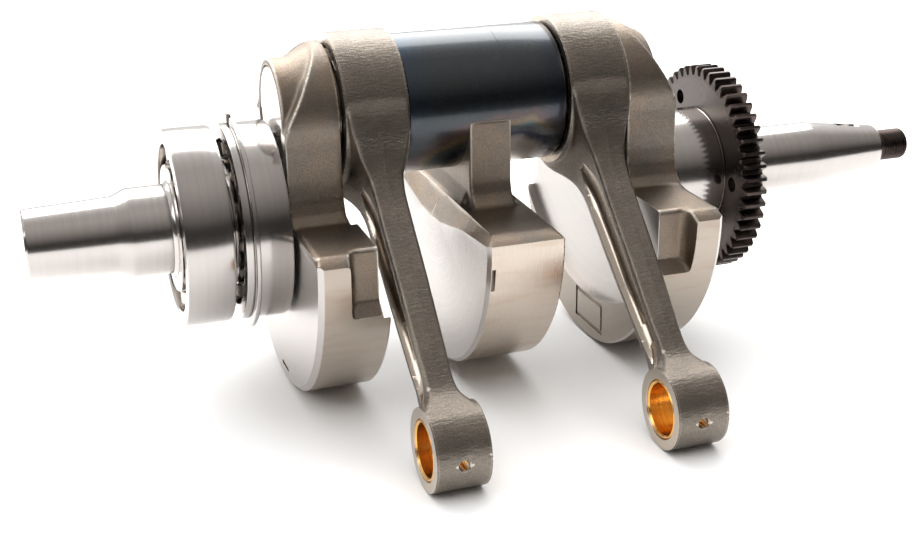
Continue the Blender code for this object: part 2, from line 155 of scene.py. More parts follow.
class CrankSizes(bpy.types.PropertyGroup):
    rod_length: FloatProperty(
        name="Rod length",
        description="Crankpin axis to wrist-pin axis",
        default=0.1356,
        unit="LENGTH",
    )
    drum_radius: FloatProperty(
        name="Drum radius",
        description="Outside radius of the centre drum",
        default=0.0258,
        unit="LENGTH",
    )
    drum_half: FloatProperty(
        name="Drum half length",
        description="Middle of the drum to its end face",
        default=0.0303,
        unit="LENGTH",
    )
    gear_tip_radius: FloatProperty(
        name="Gear tip radius",
        description="Main axis to the tips of the gear teeth",
        default=0.0409,
        unit="LENGTH",
    )
    round_steps: IntProperty(
        name="Round steps",
        description="Facets around each turned piece",
        default=144,
        min=48,
        max=512,
    )


class CrankColours(bpy.types.PropertyGroup):
    forging: FloatVectorProperty(
        name="Forging",
        description="Shot-blasted forged steel",
        default=(0.30, 0.262, 0.225),
        subtype="COLOR",
        size=3,
    )
    turned: FloatVectorProperty(
        name="Turned steel",
        description="Turned and ground faces",
        default=(0.64, 0.605, 0.58),
        subtype="COLOR",
        size=3,
    )
    rod: FloatVectorProperty(
        name="Rod steel",
        description="Shot-peened connecting rods",
        default=(0.27, 0.236, 0.20),
        subtype="COLOR",
        size=3,
    )
    bronze: FloatVectorProperty(
        name="Bronze",
        description="Wrist-pin bushes",
        default=(0.90, 0.52, 0.16),
        subtype="COLOR",
        size=3,
    )
    oxide: FloatVectorProperty(
        name="Black oxide",
        description="Gear and thread",
        default=(0.055, 0.047, 0.045),
        subtype="COLOR",
        size=3,
    )
    floor: FloatVectorProperty(
        name="Floor",
        description="Plain pale floor",
        default=(0.90, 0.90, 0.90),
        subtype="COLOR",
        size=3,
    )


def sizes():
    """The size settings of this scene."""
    return bpy.context.scene.crank_sizes


def colours():
    """The colour settings of this scene."""
    return bpy.context.scene.crank_colours


def rod_lean():
    """Angle of a rod from straight down, where its small end rests on the floor plane."""
    return math.acos((PIN_Z + RIM_R - SMALL_R) / (sizes().rod_length / MM))


# ---- finishes ----


class Finish:
    """One procedural metal finish, with short calls for its shader nodes."""

    def __init__(self, name):
        self.material = bpy.data.materials.new(name)
        self.material.use_nodes = True
        self.tree = self.material.node_tree
        self.shader = self.tree.nodes["Principled BSDF"]
        self.shader.inputs["Metallic"].default_value = 1.0
        coord = self.tree.nodes.new("ShaderNodeTexCoord")
        scaled = self.tree.nodes.new("ShaderNodeVectorMath")
        scaled.operation = "SCALE"
        scaled.inputs["Scale"].default_value = 1 / MM
        self.tree.links.new(coord.outputs["Object"], scaled.inputs[0])
        self.place = scaled.outputs[0]  # the point on the piece, in millimetres
        split = self.tree.nodes.new("ShaderNodeSeparateXYZ")
        self.tree.links.new(self.place, split.inputs[0])
        self.x, self.y, self.z = split.outputs

    def feed(self, socket, value):
        if isinstance(value, bpy.types.NodeSocket):
            self.tree.links.new(value, socket)
        else:
            socket.default_value = value

    def math(self, operation, a, b=0.0, c=0.0, clamp=False):
        node = self.tree.nodes.new("ShaderNodeMath")
        node.operation = operation
        node.use_clamp = clamp
        for socket, value in zip(node.inputs, (a, b, c)):
            self.feed(socket, value)
        return node.outputs[0]

    def spread(self, value, low, high, to_low=0.0, to_high=1.0):
        """Maps value smoothly from low..high to to_low..to_high."""
        node = self.tree.nodes.new("ShaderNodeMapRange")
        node.interpolation_type = "SMOOTHSTEP"
        for socket, item in zip(node.inputs, (value, low, high, to_low, to_high)):
            self.feed(socket, item)
        return node.outputs[0]

    def noise(self, size, detail=2.0, rough=0.5, at=None, line=None):
        """Noise whose lumps are about size millimetres, in space or along one line."""
        node = self.tree.nodes.new("ShaderNodeTexNoise")
        node.inputs["Scale"].default_value = 1.0 / size
        node.inputs["Detail"].default_value = detail
        node.inputs["Roughness"].default_value = rough
        if line is not None:
            node.noise_dimensions = "1D"
            self.feed(node.inputs["W"], line)
        else:
            self.feed(node.inputs["Vector"], at or self.place)
        return node.outputs[0]

    def stretched(self, sx, sy, sz):
        node = self.tree.nodes.new("ShaderNodeVectorMath")
        node.operation = "MULTIPLY"
        self.feed(node.inputs[0], self.place)
        node.inputs[1].default_value = (sx, sy, sz)
        return node.outputs[0]

    def blend(self, share, a, b, mode="MIX"):
        node = self.tree.nodes.new("ShaderNodeMix")
        node.data_type = "RGBA"
        node.blend_type = mode
        self.feed(node.inputs["Factor"], share)
        for socket, value in ((node.inputs["A"], a), (node.inputs["B"], b)):
            for candidate in node.inputs:
                if candidate.name == socket.name and candidate.type == "RGBA":
                    socket = candidate
            self.feed(socket, value if isinstance(value, bpy.types.NodeSocket) else (*value[:3], 1.0))
        return [out for out in node.outputs if out.type == "RGBA"][0]

    def ramp(self, share, stops):
        node = self.tree.nodes.new("ShaderNodeValToRGB")
        node.color_ramp.interpolation = "EASE"
        marks = node.color_ramp.elements
        while len(marks) < len(stops):
            marks.new(0.5)
        for mark, (position, colour) in zip(marks, stops):
            mark.position = position
            mark.color = (*colour[:3], 1.0)
        self.feed(node.inputs[0], share)
        return node.outputs[0]

    def edge_wear_and_highlight(self, sharpness=0.03):
        """Share of brightening on convex edges: partly real edge wear, partly a painted edge highlight.
        """
        node = self.tree.nodes.new("ShaderNodeNewGeometry")
        return self.spread(node.outputs["Pointiness"], 0.5 + sharpness * 0.4, 0.5 + sharpness)

    def painted_crease_shade(self, sharpness=0.03):
        """Share of painted shade darkening concave corners and creases."""
        node = self.tree.nodes.new("ShaderNodeNewGeometry")
        return self.spread(node.outputs["Pointiness"], 0.5 - sharpness * 0.4, 0.5 - sharpness)

    def axis_line(self, centre_z):
        """Distance along X plus distance from the axis: rings on faces, bands on rounds."""
        lift = self.math("SUBTRACT", self.z, centre_z)
        radius = self.math(
            "POWER",
            self.math("ADD", self.math("MULTIPLY", self.y, self.y), self.math("MULTIPLY", lift, lift)),
            0.5
        )
        return self.math("ADD", self.x, radius), radius

    def bump(self, *layers):
        """Stacks height layers of (height, depth in mm)."""
        before = None
        for height, depth in layers:
            node = self.tree.nodes.new("ShaderNodeBump")
            node.inputs["Strength"].default_value = 1.0
            node.inputs["Distance"].default_value = depth * MM
            self.feed(node.inputs["Height"], height)
            if before:
                self.feed(node.inputs["Normal"], before)
            before = node.outputs[0]
        self.feed(self.shader.inputs["Normal"], before)

    def done(self, colour, roughness, anisotropy=0.0):
        self.feed(self.shader.inputs["Base Color"], colour)
        self.feed(self.shader.inputs["Roughness"], roughness)
        if anisotropy:
            self.shader.inputs["Anisotropic"].default_value = anisotropy
            tangent = self.tree.nodes.new("ShaderNodeTangent")
            tangent.direction_type = "RADIAL"
            tangent.axis = "X"
            self.feed(self.shader.inputs["Tangent"], tangent.outputs[0])
        return self.material


def scaled(colour, factor):
    """The colour made lighter or darker."""
    return tuple(channel * factor for channel in colour)


def forged_finish(name, base, grain=0.9, brown=(1.0, 0.9, 0.8)):
    """Shot-blasted forging: fine peened grain, scale stains, painted shade in concave corners, and
    bright edges that are partly real wear and partly a painted highlight.
    """
    f = Finish(name)
    patches = f.noise(16.0, 3.0, 0.6)
    speckle = f.noise(0.45, 3.0, 0.7)
    colour = f.blend(
        f.spread(patches, 0.3, 0.7), scaled(base, 0.86), tuple(b * k * 1.1 for b, k in zip(base, brown))
    )
    colour = f.blend(f.spread(speckle, 0.35, 0.68), f.blend(0.35, colour, scaled(base, 0.35)), colour)
    # painted shade: concave corners and creases darkened towards a dark copy of the base colour
    colour = f.blend(f.math("MULTIPLY", f.painted_crease_shade(0.05), 0.55), colour, scaled(base, 0.35))
    # bright convex edges: partly real edge wear, partly a painted edge highlight
    colour = f.blend(f.math("MULTIPLY", f.edge_wear_and_highlight(0.045), 0.75), colour, (0.86, 0.80, 0.72))
    roughness = f.spread(speckle, 0.3, 0.7, 0.50, 0.36)
    f.bump((f.noise(2.6, 2.0, 0.5), 0.12 * grain), (f.noise(0.6, 3.0, 0.65), 0.14 * grain))
    return f.done(colour, roughness)


def turned_finish(
    name, base, centre_z=0.0, roughness=0.2, marks=1.0, tint=(1.0, 0.96, 0.93), anisotropy=0.0, rim=None
):
    """Turned or ground steel: rings on faces, bands on rounds, faint stains; rim is (radius, colour)."""
    f = Finish(name)
    line, radius = f.axis_line(centre_z)
    fine = f.noise(0.16, 2.0, 0.6, line=line)
    bands = f.noise(2.4, 3.0, 0.6, line=line)
    stains = f.noise(14.0, 3.0, 0.6)
    colour = f.blend(f.spread(bands, 0.3, 0.7), scaled(base, 0.96), base)
    colour = f.blend(
        f.spread(stains, 0.5, 0.75, 0.0, 0.35), colour, tuple(b * t for b, t in zip(base, tint))
    )
    if rim:
        streaks = f.noise(9.0, 2.0, 0.5, at=f.stretched(0.4, 1.0, 2.2))
        worn = f.blend(
            f.spread(streaks, 0.45, 0.8, 0.0, 0.6), rim[1],
            tuple(c * k for c, k in zip(rim[1], (0.86, 0.74, 0.66)))
        )
        colour = f.blend(f.spread(radius, rim[0] - 0.25, rim[0] - 0.05), colour, worn)
    colour = f.blend(
        f.spread(fine, 0.3, 0.42, 0.13 * marks, 0.0), colour,
        f.blend(1.0, colour, (0.55, 0.55, 0.55), "MULTIPLY")
    )
    rough = f.math(
        "ADD", f.spread(bands, 0.3, 0.7, -0.008 * marks, 0.008 * marks),
        f.spread(fine, 0.3, 0.7, roughness - 0.01, roughness + 0.01)
    )
    if marks > 0.3:
        f.bump((fine, 0.0002 * marks))
    return f.done(colour, rough, anisotropy)


# ---- mesh helpers, all in millimetres ----


def to_object(name, bm, *materials):
    """Makes a metre mesh object from a millimetre bmesh."""
    bmesh.ops.remove_doubles(bm, verts=bm.verts, dist=1e-4)
    bmesh.ops.recalc_face_normals(bm, faces=bm.faces)
    bmesh.ops.scale(bm, vec=(MM, MM, MM), verts=bm.verts)
    mesh = bpy.data.meshes.new(name)
    bm.to_mesh(mesh)
    bm.free()
    obj = bpy.data.objects.new(name, mesh)
    bpy.context.scene.collection.objects.link(obj)
    for material in materials:
        mesh.materials.append(material)
    return obj


def bake(obj):
    """Replaces the object's mesh by the one its modifiers give."""
    graph = bpy.context.evaluated_depsgraph_get()
    graph.update()
    made = bpy.data.meshes.new_from_object(obj.evaluated_get(graph))
    obj.modifiers.clear()
    obj.data = made
    return obj


def cut(obj, bm, material, operation="DIFFERENCE"):
    """A crisp cut or join whose new faces take the given finish."""
    tool = to_object(obj.name + "_tool", bm, material)
    step = obj.modifiers.new("cut", "BOOLEAN")
    step.operation = operation
    step.solver = "EXACT"
    step.material_mode = "TRANSFER"
    step.object = tool
    bake(obj)
    bpy.data.objects.remove(tool)
    return obj


def remesh(obj, voxel, rounds):
    """Fuses overlapping solids into one skin and softens its corners."""
    step = obj.modifiers.new("fuse", "REMESH")
    step.mode = "VOXEL"
    step.voxel_size = voxel * MM
    soften = obj.modifiers.new("soften", "SMOOTH")
    soften.factor = 0.5
    soften.iterations = rounds
    material = obj.data.materials[0]
    bake(obj)
    if not obj.data.materials:
        obj.data.materials.append(material)
    return obj


def piece(obj, body, nodes, sharp=32):
    """Shades a finished piece and hands it to the frame."""
    obj.data.shade_smooth()
    obj.data.set_sharp_from_angle(angle=math.radians(sharp))
    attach(obj, body)
    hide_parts(*nodes)
    return obj


def lathe(profile, steps=None, closed=False):
    """Revolves (x, r) points about the X axis."""
    steps = steps or sizes().round_steps
    bm = bmesh.new()
    verts = [bm.verts.new((x, 0.0, r)) for x, r in profile]
    edges = [bm.edges.new(pair) for pair in zip(verts, verts[1:])]
    if closed:
        edges.append(bm.edges.new((verts[-1], verts[0])))
    bmesh.ops.spin(
        bm,
        geom=verts + edges,
        cent=(0, 0, 0),
        axis=(1, 0, 0),
        angle=math.tau,
        steps=steps,
        use_merge=True,
    )
    bmesh.ops.remove_doubles(bm, verts=bm.verts, dist=1e-4)
    return bm


def ring(x0, x1, inner, outer, chamfer, steps=None, back=None):
    """A tube along X with a chamfer at its edges; back is the chamfer at x1."""
    back = chamfer if back is None else back
    profile = [
        (x0, inner + chamfer),
        (x0, outer - chamfer),
        (x0 + chamfer, outer),
        (x1 - back, outer),
        (x1, outer - back),
        (x1, inner + back),
        (x1 - back, inner),
        (x0 + chamfer, inner),
    ]
    return lathe(profile, steps, closed=True)


def round_bar(radius, x0, x1, chamfer=0.0, steps=None):
    """A solid bar along X with chamfered ends."""
    profile = [(x0, 0.0), (x0, radius - chamfer), (x0 + chamfer, radius)]
    profile += [(x1 - chamfer, radius), (x1, radius - chamfer), (x1, 0.0)]
    return lathe(profile, steps)


def moved(bm, place=(0, 0, 0), turn_x=0.0):
    """The bmesh turned about X and then carried to its place."""
    bmesh.ops.transform(
        bm, matrix=Matrix.Translation(place) @ Matrix.Rotation(turn_x, 4, "X"), verts=bm.verts
    )
    return bm


def drill(radius, start, end, steps=64):
    """A straight round cutter from start to end."""
    start, end = Vector(start), Vector(end)
    bm = bmesh.new()
    bmesh.ops.create_cone(
        bm, cap_ends=True, segments=steps, radius1=radius, radius2=radius, depth=(end - start).length
    )
    turn = (end - start).to_track_quat("Z", "Y").to_matrix().to_4x4()
    bmesh.ops.transform(bm, matrix=Matrix.Translation((start + end) / 2) @ turn, verts=bm.verts)
    return bm


def prism_x(outline, x0, x1):
    """An outline of (y, z) points pulled along X."""
    bm = bmesh.new()
    near = [bm.verts.new((x0, y, z)) for y, z in outline]
    far = [bm.verts.new((x1, y, z)) for y, z in outline]
    bm.faces.new(near)
    bm.faces.new(list(reversed(far)))
    for i in range(len(outline)):
        j = (i + 1) % len(outline)
        bm.faces.new((near[i], far[i], far[j], near[j]))
    return bm


def block(low, high):
    """A box between two opposite corners."""
    x0, x1 = sorted((low[0], high[0]))
    y0, y1 = sorted((low[1], high[1]))
    z0, z1 = sorted((low[2], high[2]))
    return prism_x([(y0, z0), (y1, z0), (y1, z1), (y0, z1)], x0, x1)


def hull(points):
    """The convex skin around the points."""
    bm = bmesh.new()
    for point in points:
        bm.verts.new(point)
    made = bmesh.ops.convex_hull(bm, input=bm.verts)
    spare = set(made["geom_interior"]) | set(made["geom_unused"])
    bmesh.ops.delete(bm, geom=[g for g in spare if isinstance(g, bmesh.types.BMVert)], context="VERTS")
    return bm


def loft(sections):
    """A closed skin through equal loops of points."""
    bm = bmesh.new()
    loops = [[bm.verts.new(point) for point in section] for section in sections]
    for low, high in zip(loops, loops[1:]):
        for i in range(len(low)):
            j = (i + 1) % len(low)
            bm.faces.new((low[i], low[j], high[j], high[i]))
    bm.faces.new(loops[0])
    bm.faces.new(loops[-1])
    return bm


def joined(*parts):
    """One bmesh holding every part's faces."""
    whole = bmesh.new()
    for part in parts:
        mesh = bpy.data.meshes.new("part")
        bmesh.ops.recalc_face_normals(part, faces=part.faces)
        part.to_mesh(mesh)
        part.free()
        whole.from_mesh(mesh)
        bpy.data.meshes.remove(mesh)
    return whole


def arc(radius, start_deg, end_deg, count, centre=(0.0, 0.0)):
    """Points along a circular arc."""
    points = []
    for i in range(count + 1):
        angle = math.radians(start_deg + (end_deg - start_deg) * i / count)
        points.append((centre[0] + radius * math.cos(angle), centre[1] + radius * math.sin(angle)))
    return points


def smooth_rows(rows, count):
    """Catmull-Rom samples through rows of numbers, evenly along the first one."""
    made = []
    low, high = rows[0][0], rows[-1][0]
    for i in range(count + 1):
        s = low + (high - low) * i / count
        k = max(j for j in range(len(rows) - 1) if rows[j][0] <= s + 1e-9)
        t = (s - rows[k][0]) / (rows[k + 1][0] - rows[k][0])
        p = [rows[max(0, k - 1)], rows[k], rows[k + 1], rows[min(len(rows) - 1, k + 2)]]
        values = [s]
        for c in range(1, len(rows[0])):
            a, b = p[1][c], p[2][c]
            span = p[2][0] - p[1][0]
            ta = (p[2][c] - p[0][c]) / max(p[2][0] - p[0][0], 1e-6) * span
            tb = (p[3][c] - p[1][c]) / max(p[3][0] - p[1][0], 1e-6) * span
            h = (2 * t**3 - 3 * t**2 + 1) * a + (t**3 - 2 * t**2 + t) * ta
            values.append(h + (3 * t**2 - 2 * t**3) * b + (t**3 - t**2) * tb)
        made.append(values)
    return made


# ---- outer webs ----


def outer_web_forging(label, material):
    """Arm, pin boss and half disc of one outer web, fused and softened."""
    side = SIDES[label]

    def at(x):
        return MID + side * x

    flank = [
        (24.8, 33.0), (24.9, 18.0), (25.7, 12.0), (27.6, 7.4), (31.0, 4.4), (37.0, 3.0), (61.0, 3.4)
    ]
    top = arc(ARM_TOP_R, 0, 180, 64, (0.0, PIN_Z))
    outline = [(-50.0, -12.0), (50.0, -12.0)] + flank[::-1] + top + [(-y, z) for y, z in flank]
    arm = to_object("arm", prism_x(outline, *sorted((at(WEB_INNER), at(WEB_OUTER + 0.6)))), material)
    slope = [
        (90.0, 33.0), (77.0, 33.0), (75.4, 35.6), (73.9, 39.5), (71.3, 44.4), (65.8, 53.9),
        (60.1, 62.6), (54.0, 70.5), (90.0, 72.0)
    ]
    cut(
        arm, loft([[(at(x), -40.0, z) for x, z in slope], [(at(x), 40.0, z) for x, z in slope]]),
        material
    )
    end = BOSS_END[label]
    cone = [
        (57.0, 0.0), (57.0, 24.8), (59.5, 24.7), (68.6, PIN_BOSS_R), (end - 0.6, PIN_BOSS_R),
        (end, PIN_BOSS_R - 0.6), (end, 0.0)
    ]
    cut(arm, moved(lathe([(at(x), r) for x, r in cone]), (0, 0, PIN_Z)), material, "UNION")
    rim = arc(RIM_R + 1.2, -180, 0, 96)
    points = [(at(x), y, z) for x in (WEIGHT_INNER - 0.6, WEB_OUTER + 0.6) for y, z in rim]
    crown = [(65.4, 0.8), (63.9, 2.4), (61.0, 4.1), (28.0, 4.5)]
    points += [
        (at(x), hand * y, z) for x in (WEIGHT_INNER + 0.8, WEB_OUTER - 1.0) for y,
        z in crown for hand in (-1, 1)
    ]
    cut(arm, hull(points), material, "UNION")
    plan = [
        (40.0, 72.0), (40.0, 58.0), (51.4, 58.0), (61.4, 58.0), (63.2, 60.2), (64.2, 65.0), (64.9, 72.0)
    ]
    for hand in (-1, 1):
        floor = [(at(x), hand * y, -14.2 - 0.85 * (y - 57.0)) for x, y in plan]
        roof = [(at(x), hand * y, 16.0) for x, y in plan]
        cut(arm, loft([floor, roof]), material)
    return remesh(arm, WEB_VOXEL, 7)


def web_envelope(label):
    """Everything outside the turned rim and faces of an outer web, as a hollow cutter."""
    side = SIDES[label]
    inner, outer = MID + side * WEIGHT_INNER, MID + side * WEB_OUTER
    edge = [(inner - side * 3.0, RIM_R - 3.7), (inner + side * 0.7, RIM_R)]
    edge += [(outer - side * 1.9, RIM_R), (outer, RIM_R - 1.9), (outer, 0.02)]
    far = outer + side * 30.0
    beyond = [(far, 0.02), (far, BEYOND_R), (inner - side * 3.0, BEYOND_R)]
    return lathe(edge + beyond, closed=True)


def add_outer_web(label, forging, machined, faced, rough_cast):
    """One outer web, cut to its turned rim, faces and pin bore."""
    side = SIDES[label]
    web = outer_web_forging(label, forging)
    web.data.materials.append(machined)
    web.data.materials.append(faced)
    cut(web, web_envelope(label), machined)
    inner_face = sorted((MID + side * 40.0, MID + side * WEIGHT_INNER))
    web.data.materials.append(rough_cast)
    cut(web, round_bar(BEYOND_R, *inner_face, 0.5, 96), rough_cast)
    for radius, depth in ((SWING_R, WEB_INNER - 0.1), (TURNED_R, TURNED_FACE)):
        low, high = sorted((MID + side * 40.0, MID + side * depth))
        cut(web, moved(round_bar(radius, low, high, 0.0, 192), (0, 0, PIN_Z)), faced)
    bore = drill(PIN_R + 0.1, (MID + side * 40, 0, PIN_Z), (MID + side * 90, 0, PIN_Z), 128)
    cut(web, bore, faced)
    if label == "flywheel":
        add_blank_mark(web, forging)
    else:
        face = MID + side * WEB_OUTER
        cut(web, block((face - 0.5, -7.0, -60.4), (face + 0.5, 3.0, -58.9)), forging)
    web.name = f"{label}_outer_web"
    return piece(web, "crank", [f"{label}_crank_half"], 38)


def add_blank_mark(web, material):
    """The recessed outline of an empty cast label on the inboard face."""
    face = MID + WEIGHT_INNER
    (low_y, high_y), (low_z, high_z), line = MARK_Y, MARK_Z, MARK_LINE
    sides = [
        ((low_y, low_z), (high_y, low_z + line)),
        ((low_y, high_z - line), (high_y, high_z)),
        ((low_y, low_z), (low_y + line, high_z)),
        ((high_y - line, low_z), (high_y, high_z)),
    ]
    for (y0, z0), (y1, z1) in sides:
        cut(web, block((face - 2.0, y0, z0), (face + MARK_DEPTH, y1, z1)), material)


class CRANK_OT_outer_webs(bpy.types.Operator):
    """Adds the two outer webs with their counterweights"""

    bl_idname = "crankshaft.outer_webs"
    bl_label = "Outer webs"

    def execute(self, context):
        forging = forged_finish("web_forging", colours().forging)
        rim = (RIM_R, scaled(colours().forging, 1.45))
        machined = turned_finish(
            "web_turned", scaled(colours().turned, 0.80), 0.0, 0.3, 0.25, (1.0, 0.92, 0.90), rim=rim
        )
        rough_cast = turned_finish("web_blasted", scaled(colours().forging, 1.12), 0.0, 0.42, 0.0)
        faced = turned_finish(
            "web_faced", scaled(colours().turned, 0.66), PIN_Z, 0.3, 0.25, (1.0, 0.95, 0.92)
        )
        for label in SIDES:
            add_outer_web(label, forging, machined, faced, rough_cast)
        return {"FINISHED"}


# ---- shafts ----


def pto_shaft_profile():
    """(x, r) points of the tapered nose and bearing seat."""
    seat = RING_IN_R - 0.1
    return [
        (0.0, 0.0),
        (0.0, 12.2),
        (0.8, 12.85),
        (30.6, 14.0),
        (31.4, 14.15),
        (35.8, 16.15),
        (36.6, 16.35),
        (50.0, 16.35),
        (50.5, 16.9),
        (51.2, seat),
        (88.8, seat),
        (88.8, 22.6),
        (97.0, 22.6),
        (97.0, 0.0),
    ]


def flywheel_shaft_profile():
    """(x, r) points of the gear journal and the flywheel taper."""
    stations = [
        (68.0, 0.0),
        (68.0, JOURNAL_R),
        (97.2, JOURNAL_R),
        (97.5, JOURNAL_R - 0.5),
        (98.2, JOURNAL_R - 0.5),
        (98.2, JOURNAL_R - 0.05),
        (107.9, JOURNAL_R - 0.05),
        (108.4, JOURNAL_R - 0.6),
        (108.4, 17.0),
        (112.0, 16.6),
        (113.8, 13.9),
        (114.6, 13.4),
        (148.4, 13.4),
        (149.0, 13.35),
        (180.6, 9.1),
        (181.4, 8.4),
        (181.7, 5.6),
        (183.2, 5.6),
        (183.2, 0.0),
    ]
    return [(MID + x, r) for x, r in stations]


def threaded_end(x0, x1, outer, material):
    """The threaded stud at the flywheel end, as one true helix."""
    bm = bmesh.new()
    around, along = 72, 118
    rows = []
    for j in range(along + 1):
        x = x0 + (x1 - x0) * j / along
        run_out = min(1.0, (x - x0) / 1.0, (x1 - x) / 0.9)
        row = []
        for i in range(around):
            angle = math.tau * i / around
            phase = (x / THREAD_PITCH - i / around) % 1.0
            flank = min(1.0, max(0.0, abs(2 * phase - 1) * 1.35 - 0.18))
            radius = outer - THREAD_DEPTH * (1 - flank) * max(0.0, run_out)
            radius = min(radius, outer - 0.7 + 0.7 * max(0.0, min(1.0, (x1 - x) / 0.7)))
            row.append(bm.verts.new((x, -radius * math.sin(angle), radius * math.cos(angle))))
        rows.append(row)
    for low, high in zip(rows, rows[1:]):
        for i in range(around):
            j = (i + 1) % around
            bm.faces.new((low[i], low[j], high[j], high[i]))
    bm.faces.new(rows[0])
    bm.faces.new(rows[-1])
    stud = to_object("thread", bm, material)
    dimple = lathe([(x1 - 2.0, 0.0), (x1 - 1.9, 0.3), (x1 + 0.2, 2.3), (x1 + 0.2, 0.0)], 40)
    return cut(stud, dimple, material)


class CRANK_OT_shafts(bpy.types.Operator):
    """Adds the two shafts forged with the outer webs and the threaded end"""

    bl_idname = "crankshaft.shafts"
    bl_label = "Shafts and thread"

    def execute(self, context):
        ground = turned_finish(
            "shaft_ground", scaled(colours().turned, 0.86), 0.0, 0.17, 1.0, (1.0, 0.95, 0.91), 0.3
        )
        nose = to_object("pto_shaft", lathe(pto_shaft_profile()), ground)
        centre_drill = lathe(
            [(-1.0, 0.0), (-1.0, 4.6), (0.0, 3.9), (3.4, 1.9), (6.0, 1.8), (7.0, 0.0)], 64
        )
        cut(nose, centre_drill, ground)
        piece(nose, "crank", ["pto_crank_half"], 24)
        tail = to_object("flywheel_shaft", lathe(flywheel_shaft_profile()), ground)
        seat_x = MID + 168.6
        cut(tail, drill(6.6, (seat_x, -2.05, 14.1), (seat_x, 2.05, 14.1), 64), ground)
        piece(tail, "crank", ["flywheel_crank_half"], 24)
        black = gear_finish("thread_black", 0.0)
        stud = threaded_end(MID + 183.0, SHAFT_END, THREAD_R, black)
        stud.name = "flywheel_thread"
        piece(stud, "crank", ["flywheel_crank_half"], 50)
        return {"FINISHED"}


# ---- centre web ----


def heat_tints(f, bare):
    """Oven colours of the shrunk drum: bare over the arm, blue at both ends."""
    away = f.math("SUBTRACT", f.x, MID + 4.0)
    rise = f.math("SUBTRACT", f.z, 12.0)
    arch = f.math(
        "SQRT",
        f.math(
            "ADD", f.math("MULTIPLY", f.math("MULTIPLY", away, away), 0.42),
            f.math("MULTIPLY", rise, rise)
        )
    )
    wander = f.math("MULTIPLY", f.math("SUBTRACT", f.noise(9.0, 3.0, 0.55), 0.5), 7.0)
    drift = f.math("MULTIPLY", f.spread(f.x, MID - 6.0, MID + 16.0), -4.0)
    reach = f.math("ADD", f.math("ADD", arch, wander), drift)
    share = f.math("DIVIDE", f.math("SUBTRACT", reach, 2.0), 36.0, clamp=True)
    tints = [
        (0.00, bare),
        (0.24, scaled(bare, 0.80)),
        (0.32, (0.022, 0.030, 0.060)),
        (0.40, (0.060, 0.080, 0.085)),
        (0.47, (0.130, 0.095, 0.055)),
        (0.55, (0.070, 0.045, 0.045)),
        (0.64, (0.032, 0.038, 0.045)),
        (0.80, (0.026, 0.032, 0.038)),
        (1.00, (0.036, 0.042, 0.048)),
    ]
    colour = f.ramp(share, tints)
    right = f.spread(f.x, MID + 20.0, MID + 27.0)
    colour = f.blend(f.math("MULTIPLY", right, 0.75), colour, (0.018, 0.026, 0.045))
    left = f.math("MULTIPLY", f.spread(f.x, MID - 18.0, MID - 30.0), f.spread(f.z, 24.0, 52.0))
    return f.blend(f.math("MULTIPLY", left, 0.65), colour, (0.022, 0.045, 0.075)), share


def heated_finish(name, base):
    """The shrunk drum: speckled oven colours under a thin gloss."""
    f = Finish(name)
    colour, share = heat_tints(f, base)
    speckle = f.noise(0.5, 3.0, 0.7)
    colour = f.blend(f.spread(speckle, 0.62, 0.74, 0.0, 0.4), colour, (0.14, 0.15, 0.16))
    colour = f.blend(f.spread(f.noise(5.0, 3.0, 0.6), 0.5, 0.8, 0.0, 0.4), colour, (0.05, 0.07, 0.08))
    line, _ = f.axis_line(PIN_Z)
    f.bump((f.noise(1.4, 2.0, 0.5), 0.02), (f.noise(0.3, 2.0, 0.6, line=line), 0.004), (speckle, 0.02))
    f.shader.inputs["Coat Weight"].default_value = 0.7
    f.shader.inputs["Coat Roughness"].default_value = 0.16
    f.shader.inputs["Coat IOR"].default_value = 1.6
    return f.done(colour, f.spread(speckle, 0.3, 0.7, 0.27, 0.36))


def centre_forging(material):
    """Arm and half disc of the centre web, fused and softened."""
    side = [(CENTRE_ARM_Y, 12.0), (27.2, 8.0), (29.6, 4.8), (33.5, 2.8), (44.0, 1.6), (58.0, 1.2)]
    left = [(-y, z) for y, z in side]
    top = PIN_Z - 3.0
    outline = [
        (CENTRE_ARM_Y, top), *side, (40.0, -12.0), (-40.0, -12.0), *left[::-1], (-CENTRE_ARM_Y, top)
    ]
    arm = to_object(
        "centre_arm", prism_x(outline, MID - CENTRE_ARM_HALF, MID + CENTRE_ARM_HALF), material
    )
    rim = arc(CENTRE_RIM_R + 1.0, -180, 0, 96)
    points = [(MID + x, y, z) for x in (CENTRE_LEFT - 0.6, CENTRE_RIGHT + 0.6) for y, z in rim]
    crown = [(62.6, 0.6), (60.6, 2.0), (57.0, 3.0), (26.0, 3.8)]
    points += [
        (MID + x, hand * y, z) for x in (CENTRE_LEFT + 2.8, CENTRE_RIGHT - 2.4) for y,
        z in crown for hand in (-1, 1)
    ]
    cut(arm, hull(points), material, "UNION")
    foot = [
        (MID + x, hand * y, z) for x, y,
        z in (
            (-11.0, 24.0, 3.0), (11.0, 24.0, 3.0), (-8.0, 22.0, 9.0), (8.0, 22.0, 9.0)
        ) for hand in (-1, 1)
    ]
    cut(arm, hull(foot), material, "UNION")
    return remesh(arm, WEB_VOXEL, 9)


def flank_strip(hand):
    """The dressed strip along the top edge of the centre counterweight's PTO face."""
    rows = [
        (-0.4, -7.0, -0.5), (11.0, -6.5, -0.2), (36.0, -1.7, 2.1), (61.5, 0.4, 3.2), (68.0, 1.2, 3.6)
    ]
    sections = []
    for y, low, high in rows:
        corners = [
            (CENTRE_LEFT - 0.01, low), (-11.6, high), (-11.6, high + 14.0), (-30.0, high + 14.0),
            (-30.0, low)
        ]
        sections.append([(MID + x, hand * y, z) for x, z in corners])
    return loft(sections)


